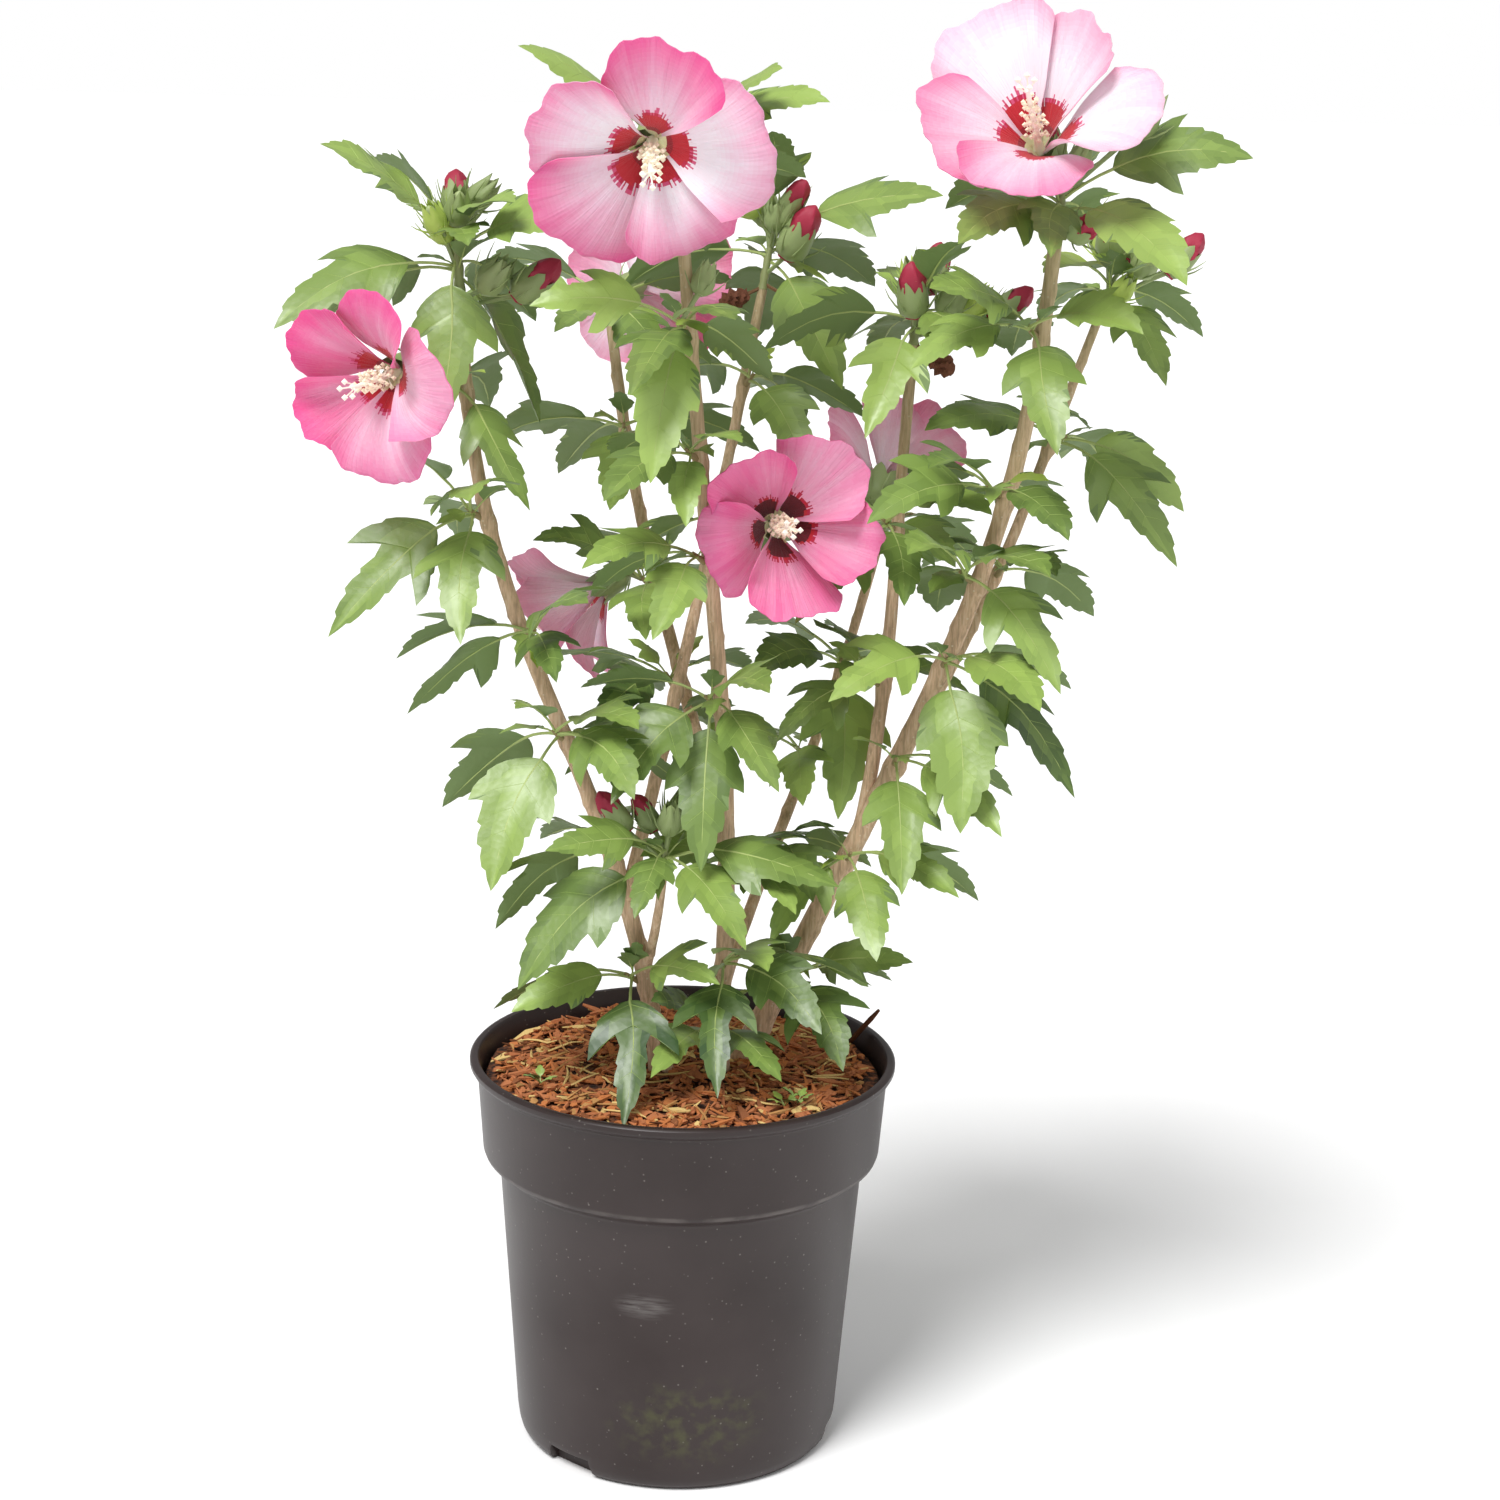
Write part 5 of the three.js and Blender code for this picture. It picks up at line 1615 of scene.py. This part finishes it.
COLUMN_RADII = (2.6, 1.7, 1.5, 1.4, 1.3, 1.2, 1.0, 0.8)
USUAL_PETAL = 55  # length of the petals round a column of the full length
ANTHERS = 48
ANTHER_PLACES = (0.22, 0.82)  # shares of the column between which they stand
ANTHER_LEAN = 62
ANTHER_RADIUS = 1.15
THREAD_LENGTH = 3.8
THREAD_RADII = (0.34, 0.28, 0.25)
STYLES = 5
STYLE_LEAN = 38
STYLE_RADII = (0.4, 0.34, 0.34)
STIGMA_RADIUS = 1.4


def add_column(heap, bloom, keys):
    """The stamen column: a tapering tube with threads and anthers all round, and five styles at its end."""
    axis = bloom_axis(bloom)
    length = COLUMN_LENGTH * bloom["petal"] / USUAL_PETAL
    heart = np.array(bloom["heart"])
    path = heart + axis * (length * np.linspace(0, 1, len(COLUMN_RADII)))[:, None]
    heap.add(*tube(path, COLUMN_RADII, 8), 0)
    low, high = ANTHER_PLACES
    for k in range(ANTHERS):
        place = low + (high - low) * k / ANTHERS
        aim = splayed(axis, GOLDEN_TURN * k, ANTHER_LEAN + 16 * chance(*keys, k, 81))
        thread = THREAD_LENGTH * (1 + 0.35 * chance(*keys, k, 82)) * (1.2 - 0.5 * place)
        foot = heart + axis * length * place
        heap.add(*tube([foot, foot + aim * thread * 0.5, foot + aim * thread], THREAD_RADII, 3), 0)
        add_bead(heap, foot + aim * (thread + 0.5), ANTHER_RADIUS, 1)
    for k in range(STYLES):
        aim = splayed(axis, 360 / STYLES * k, STYLE_LEAN)
        foot = heart + axis * length * 0.97
        end = foot + aim * 5.5 + axis * 1.5
        heap.add(*tube([foot, foot + aim * 3, end], STYLE_RADII, 5), 0)
        add_bead(heap, end, STIGMA_RADIUS, 0)


CALYX_SIDES = 20
SEPALS = 5
CALYX_RINGS = ((0.0, 0.22), (0.06, 0.62), (0.22, 0.92), (0.45, 1.0))  # height and width of the cup, as shares
BRACTS = 7
BRACT_RADII = (0.55, 0.55, 0.45, 0.3, 0.1)
USUAL_CALYX = 6  # radius of the calyx that these radii go with


def ring_at(turns, radius, height):
    """Points round +Z at these turns. The radius and the height are one for all, or one for each."""
    return np.stack([np.cos(turns) * radius, np.sin(turns) * radius, np.broadcast_to(height, turns.shape)], 1)


def add_calyx(heap, base, axis, turn, length, radius, mouth, slot, keys):
    """A green cup with five pointed sepals, and the ring of thin curved bracts below it.

    Its mouth is as wide as this share of the radius.
    """
    turns = round_turns(CALYX_SIDES)
    point = np.abs(np.cos(SEPALS / 2 * turns)) ** 1.4
    rim = length * (0.72 + 0.3 * point)
    rings = [*CALYX_RINGS, (0.72, (1.06 + mouth) / 2), (1.0, mouth)]
    points = []
    for height, wide in rings:
        flare = 1 + 0.12 * point * max(0, height - 0.5)
        points.append(ring_at(turns, wide * radius * flare, rim * height))
    points.append(ring_at(turns, 0.7 * radius, 0.4 * length))
    heap.add(standing(np.vstack(points), base, axis, turn), ring_faces(len(points), CALYX_SIDES), slot)
    for k in range(BRACTS):
        around = 360 * k / BRACTS + 12 * chance(*keys, k, 91)
        reach = length * (0.75 + 0.2 * chance(*keys, k, 92))
        shares = np.linspace(0, 1, len(BRACT_RADII))[:, None]
        out = 1.2 + 1.05 * radius * np.sin(0.55 * math.pi * shares) + 3.4 * shares**2
        path = heading(around, 0) * out + UP * reach * shares**1.3
        spots, faces = tube(path, np.array(BRACT_RADII) * radius / USUAL_CALYX, 4)
        heap.add(standing(spots, base, axis, turn), faces, slot)


class HIBISCUS_OT_blooms(bpy.types.Operator):
    """Open the blooms: ruffled petals with a crimson eye, and the stamen column"""

    bl_idname = "hibiscus.blooms"
    bl_label = "Blooms"

    def execute(self, context):
        scene = context.scene
        petals, columns = Heap(), Heap()
        for seed, spray in enumerate(SPRAYS):
            if "bloom" not in spray:
                continue
            for index in range(PETALS):
                keys = seed, index
                points, flat = petal_points(spray, index, keys, scene.shrub_sizes)
                petals.add(points, PETAL_FACES, petal_slots(BLOOM_LOOKS[spray["name"]], keys), flat)
            add_column(columns, spray["bloom"], (seed, 0))
        finish_piece(petals.make("petals", petal_materials(scene.shrub_colours), smooth_angle=70), "petal")
        cream = tuple(scene.shrub_colours.stamen)
        pollen = [
            soft_green_material("stamen thread cream", cream, 0.5, 0.5),
            soft_green_material("anther pollen cream", mixed(cream, linear("#F3DFA0"), 0.35), 0.8, 0.3),
        ]
        finish_piece(columns.make("stamen_columns", pollen, smooth_angle=60), "petal")
        return {"FINISHED"}


# ------------------------------------------------------------------ buds and calyxes

BUD_STALK = dict(length=11, rise=58, first=0.97, step=0.12)
BUD_STALK_RADII = (1.1, 0.95, 0.95, 1.1, 1.6)
BUD_LENGTH = 21
BUD_RADIUS = 6.3
BUD_SIDES = 20
BUD_RINGS = 12
BUD_WIDEST = 0.5  # share of a furled bud's length where it is widest
BUD_TWIST = 1.6  # of its folds, in radians, and their depth as a share of its radius
BUD_FOLDS = 0.13
# Sizes of a bud that is closed, and of one that already shows its furled petals, as shares of the usual ones.
CLOSED = dict(cup=0.88, mouth=0.5, length=0.8, radius=0.6, slot=1)
SHOWING = dict(cup=0.76, mouth=0.8, length=1.08, radius=0.84, slot=0)
# Which buds of a spray's crown show them.
SHOWING_BUDS = {
    "left_crown": (1,), "shoot_crown": (1,), "middle_crown": (0,), "inner_crown": (0, 3), "right_crown": (1,),
    "outer_crown": (0, 2),
}
# More buds stand out from their twig: share of the way up it, turn, rise, length of stalk, scale and kind.
SIDE_BUDS = {
    "left_crown": (
        (0.12, -35, 22, 13, 1.05, CLOSED), (0.05, -12, 12, 24, 1.1, SHOWING),
        (0.75, -120, 30, 12, 0.8, CLOSED)),
    "shoot_crown": ((0.5, 175, 35, 20, 0.95, SHOWING), (0.9, -75, 65, 8, 0.85, CLOSED)),
    "middle_crown": ((0.25, -35, 38, 13, 1.2, SHOWING), (0.7, -80, 50, 10, 0.8, CLOSED)),
    "inner_crown": (
        (0.3, -105, 58, 8, 1.1, SHOWING), (0.35, -22, 32, 13, 1, CLOSED), (0.3, -4, 20, 21, 0.95, CLOSED),
        (0.2, 2, 12, 33, 1, SHOWING)),
    "right_crown": (
        (0.9, -12, 42, 36, 1.15, CLOSED), (0.1, -62, -12, 11, 0.9, SHOWING),
        (0.15, -28, -5, 16, 0.85, CLOSED)),
    "outer_crown": (
        (0.4, -20, 38, 16, 1, CLOSED), (0.3, 4, 25, 29, 1.05, SHOWING), (0.2, -60, 20, 9, 0.8, CLOSED)),
    "centre_neck": ((0.8, 40, 50, 14, 0.8, CLOSED),),
}
SIDE_BUD_KEY = 20  # so that chance doesn't give these the same numbers as the crown's buds
CALYX_KEY = 50
# Spent blooms hang by their twig: share of the way up it, turn and rise.
SPENT_BLOOMS = {
    "middle_crown": ((0.05, -150, -20), (0.1, -20, -25)),
    "inner_crown": ((0.02, -150, -15), (0.05, -35, -30)),
}
SPENT = dict(length=14, radius=4.2, twist=4, depth=0.3, stalk=10, stalk_radii=(1.0, 0.8, 0.8, 1.5))


def bud_places(spray, seed):
    """Joint, base, axis, scale and kind of each bud of a spray, and a number for chance."""
    foot, tip = twig_ends(spray)
    for index in range(spray.get("buds", 0)):
        joint = foot + (tip - foot) * (BUD_STALK["first"] - BUD_STALK["step"] * index)
        turn = GOLDEN_TURN * index + 60 * chance(seed, index, 1)
        axis = heading(turn, BUD_STALK["rise"] + 14 * chance(seed, index, 2))
        base = joint + axis * BUD_STALK["length"] * (1 + 0.3 * chance(seed, index, 3))
        kind = SHOWING if index in SHOWING_BUDS.get(spray["name"], ()) else CLOSED
        yield joint, base, axis, 0.9 + 0.18 * chance(seed, index, 4), kind, index
    for index, (place, turn, rise, length, scale, kind) in enumerate(SIDE_BUDS.get(spray["name"], ())):
        joint = foot + (tip - foot) * place
        out = heading(turn, rise)
        yield joint, joint + out * length, unit(out + UP * 0.6), scale, kind, SIDE_BUD_KEY + index


def furled_petals(length, radius, twist, depth):
    """Furled petals: a blunt dome on a narrower foot, whose crumpled folds wind round it."""
    turns = round_turns(BUD_SIDES)
    points = []
    for share in np.linspace(0, 1, BUD_RINGS):
        above = max(0, share - BUD_WIDEST) / (1 - BUD_WIDEST)
        wide = radius * (1 - above**2.2) ** 0.6 * min(1, 0.6 + 0.4 * share / BUD_WIDEST)
        wide = max(wide, 0.1 * radius)
        fold = 1 + depth * np.cos(5 * (turns + twist * share)) + 0.4 * depth * np.cos(9 * turns + 14 * share)
        points.append(ring_at(turns, wide * fold, length * share))
    return np.vstack(points), ring_faces(BUD_RINGS, BUD_SIDES)


def grow_buds():
    """The calyxes with their bracts and stalks, and the buds with the spent blooms."""
    calyxes, buds = Heap(), Heap()
    for seed, spray in enumerate(SPRAYS):
        if "bloom" in spray:
            bloom = spray["bloom"]
            base, axis = calyx_base(bloom), bloom_axis(bloom)
            add_calyx(calyxes, base, axis, 36, CALYX_LENGTH + 4, 6.6, 1, 0, (seed, CALYX_KEY))
        for joint, base, axis, scale, kind, number in bud_places(spray, seed):
            stalk = joint + (base + axis * 2 - joint) * np.linspace(0, 1, len(BUD_STALK_RADII))[:, None]
            calyxes.add(*tube(stalk, BUD_STALK_RADII, 6), 0)
            length, radius = BUD_LENGTH * scale, BUD_RADIUS * scale
            young = 1 if number % 3 == 1 and kind is CLOSED else 0
            cup, mouth = length * kind["cup"], kind["mouth"]
            add_calyx(calyxes, base, axis, 30 * number, cup, radius, mouth, young, (seed, number))
            points, faces = furled_petals(
                length * kind["length"], radius * kind["radius"], BUD_TWIST, BUD_FOLDS)
            buds.add(standing(points, base, axis), faces, kind["slot"])
        foot, tip = twig_ends(spray)
        for place, turn, rise in SPENT_BLOOMS.get(spray["name"], ()):
            joint, axis = foot + (tip - foot) * place, heading(turn, rise)
            stalk = joint + axis * SPENT["stalk"] * np.linspace(0, 1, len(SPENT["stalk_radii"]))[:, None]
            calyxes.add(*tube(stalk, SPENT["stalk_radii"], 5), 2)
            points, faces = furled_petals(SPENT["length"], SPENT["radius"], SPENT["twist"], SPENT["depth"])
            buds.add(standing(points, joint + axis * (SPENT["stalk"] - 1), axis), faces, 2)
    return calyxes, buds


class HIBISCUS_OT_buds(bpy.types.Operator):
    """Set the buds and the calyxes with their bracts"""

    bl_idname = "hibiscus.buds"
    bl_label = "Buds and calyxes"

    def execute(self, context):
        scene = context.scene
        green = tuple(scene.shrub_colours.calyx)
        calyxes, buds = grow_buds()
        skins = [
            soft_green_material("sepal downy grey green", green),
            soft_green_material("sepal young yellow green", mixed(green, linear("#B7CF5A"), 0.75)),
            soft_green_material("spent stalk dry brown", linear("#7A5A3C"), 0.85),
        ]
        finish_piece(calyxes.make("calyxes_and_bracts", skins), "foliage")
        crimson = soft_green_material("furled petal crimson", linear("#A3223F"), 0.6, 0.6)
        closed = soft_green_material("closed sepals pale green", mixed(green, linear("#C5D394"), 0.4))
        spent = fibre_material("spent petals dry brown", linear("#7A4E3C"))
        finish_piece(buds.make("buds", [crimson, closed, spent]), "petal")
        return {"FINISHED"}


# ------------------------------------------------------------------ stage

CAMERA_PLACE = (0, -1185.9, 607.6)
CAMERA_DOWN = 13.733  # how far it looks down, to the right of straight ahead, and is rolled, in degrees
CAMERA_YAW = 1.284
CAMERA_ROLL = 1.433
FOCAL_PIXELS = 2800  # focal length of a picture that is this many pixels wide
IMAGE_PIXELS = 1500
SENSOR = 36
FLOOR_SIZE = 80  # in metres, so that its edges never show
SKY_STRENGTH = (0.4, 1)  # of the light that falls on things, and of what the camera sees


def add_sun(name, turn, rise, spread, strength):
    """A wide soft light from far off, which comes from a turn and a rise."""
    clear_selection()
    bpy.ops.object.light_add(type="SUN", location=(0, 0, 2))
    sun = bpy.context.active_object
    sun.name = name
    sun.data.energy = strength
    sun.data.angle = math.radians(spread)
    sun.rotation_euler = Vector(-heading(turn, rise)).to_track_quat("-Z", "Y").to_euler()


class HIBISCUS_OT_stage(bpy.types.Operator):
    """Lay the pale floor, hang the soft lights and set the camera"""

    bl_idname = "hibiscus.stage"
    bl_label = "Stage"

    def execute(self, context):
        scene = context.scene
        clear_selection()
        bpy.ops.mesh.primitive_plane_add(size=FLOOR_SIZE, location=(0, 0, 0))
        floor = context.active_object
        floor.name = "floor"
        paint, _ = new_material("floor matt paint", scene.shrub_colours.floor, 0.9, Specular_IOR_Level=0.1)
        floor.data.materials.append(paint)
        floor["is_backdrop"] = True
        add_sun("key_sun", turn=-122, rise=55, spread=24, strength=3.0)
        add_sun("fill_sun", turn=-40, rise=38, spread=60, strength=0.4)
        world = bpy.data.worlds.new("studio")
        world.use_nodes = True
        rays = add_node(world, "ShaderNodeLightPath")
        strength = ranged(world, rays.outputs["Is Camera Ray"], wanted=SKY_STRENGTH)
        background = world.node_tree.nodes["Background"]
        background.inputs["Color"].default_value = (*WHITE, 1)
        feed(world, strength, background.inputs["Strength"])
        scene.world = world
        scene.view_settings.view_transform = "Standard"
        bpy.ops.object.camera_add(location=[p * MM for p in CAMERA_PLACE])
        camera = context.active_object
        camera.name = "camera"
        camera.data.sensor_width = SENSOR
        camera.data.lens = FOCAL_PIXELS / IMAGE_PIXELS * SENSOR
        camera.data.dof.use_dof = False
        turned = Matrix.Rotation(math.radians(-CAMERA_YAW), 4, "Z")
        pitched = Matrix.Rotation(math.radians(90 - CAMERA_DOWN), 4, "X")
        rolled = Matrix.Rotation(math.radians(CAMERA_ROLL), 4, "Z")
        camera.matrix_world = Matrix.Translation(camera.location) @ turned @ pitched @ rolled
        scene.camera = camera
        return {"FINISHED"}


# ------------------------------------------------------------------ add-on

OPERATORS = (
    HIBISCUS_OT_pot, HIBISCUS_OT_mulch, HIBISCUS_OT_limbs, HIBISCUS_OT_twigs, HIBISCUS_OT_leaves,
    HIBISCUS_OT_blooms, HIBISCUS_OT_buds, HIBISCUS_OT_stage,
)


class HIBISCUS_PT_panel(bpy.types.Panel):
    """Sizes, colours and pieces of the shrub"""

    bl_idname = "HIBISCUS_PT_panel"
    bl_label = "Potted Hibiscus"
    bl_space_type = "VIEW_3D"
    bl_region_type = "UI"
    bl_category = "Hibiscus"

    def draw(self, context):
        layout = self.layout
        for group in (context.scene.shrub_sizes, context.scene.shrub_colours):
            box = layout.box()
            for name in group.__annotations__:
                box.prop(group, name)
        for operator in OPERATORS:
            layout.operator(operator.bl_idname)


CLASSES = (ShrubSizes, ShrubColours, *OPERATORS, HIBISCUS_PT_panel)


def register():
    """Adds the panel, the operators and their settings."""
    for made in CLASSES:
        bpy.utils.register_class(made)
    bpy.types.Scene.shrub_sizes = PointerProperty(type=ShrubSizes)
    bpy.types.Scene.shrub_colours = PointerProperty(type=ShrubColours)


def unregister():
    """Takes them away again."""
    del bpy.types.Scene.shrub_colours
    del bpy.types.Scene.shrub_sizes
    for made in reversed(CLASSES):
        bpy.utils.unregister_class(made)


def corners(box):
    return [list(corner) for corner in box]


def main():
    """Builds the shrub piece by piece."""
    packed = corners(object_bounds())
    register()
    for name in ("pot", "mulch", "limbs", "twigs", "leaves", "blooms", "buds", "stage"):
        getattr(bpy.ops.hibiscus, name)()
    {"cad": packed, "visual": corners(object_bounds())}


if __name__ == "__main__":
    main()
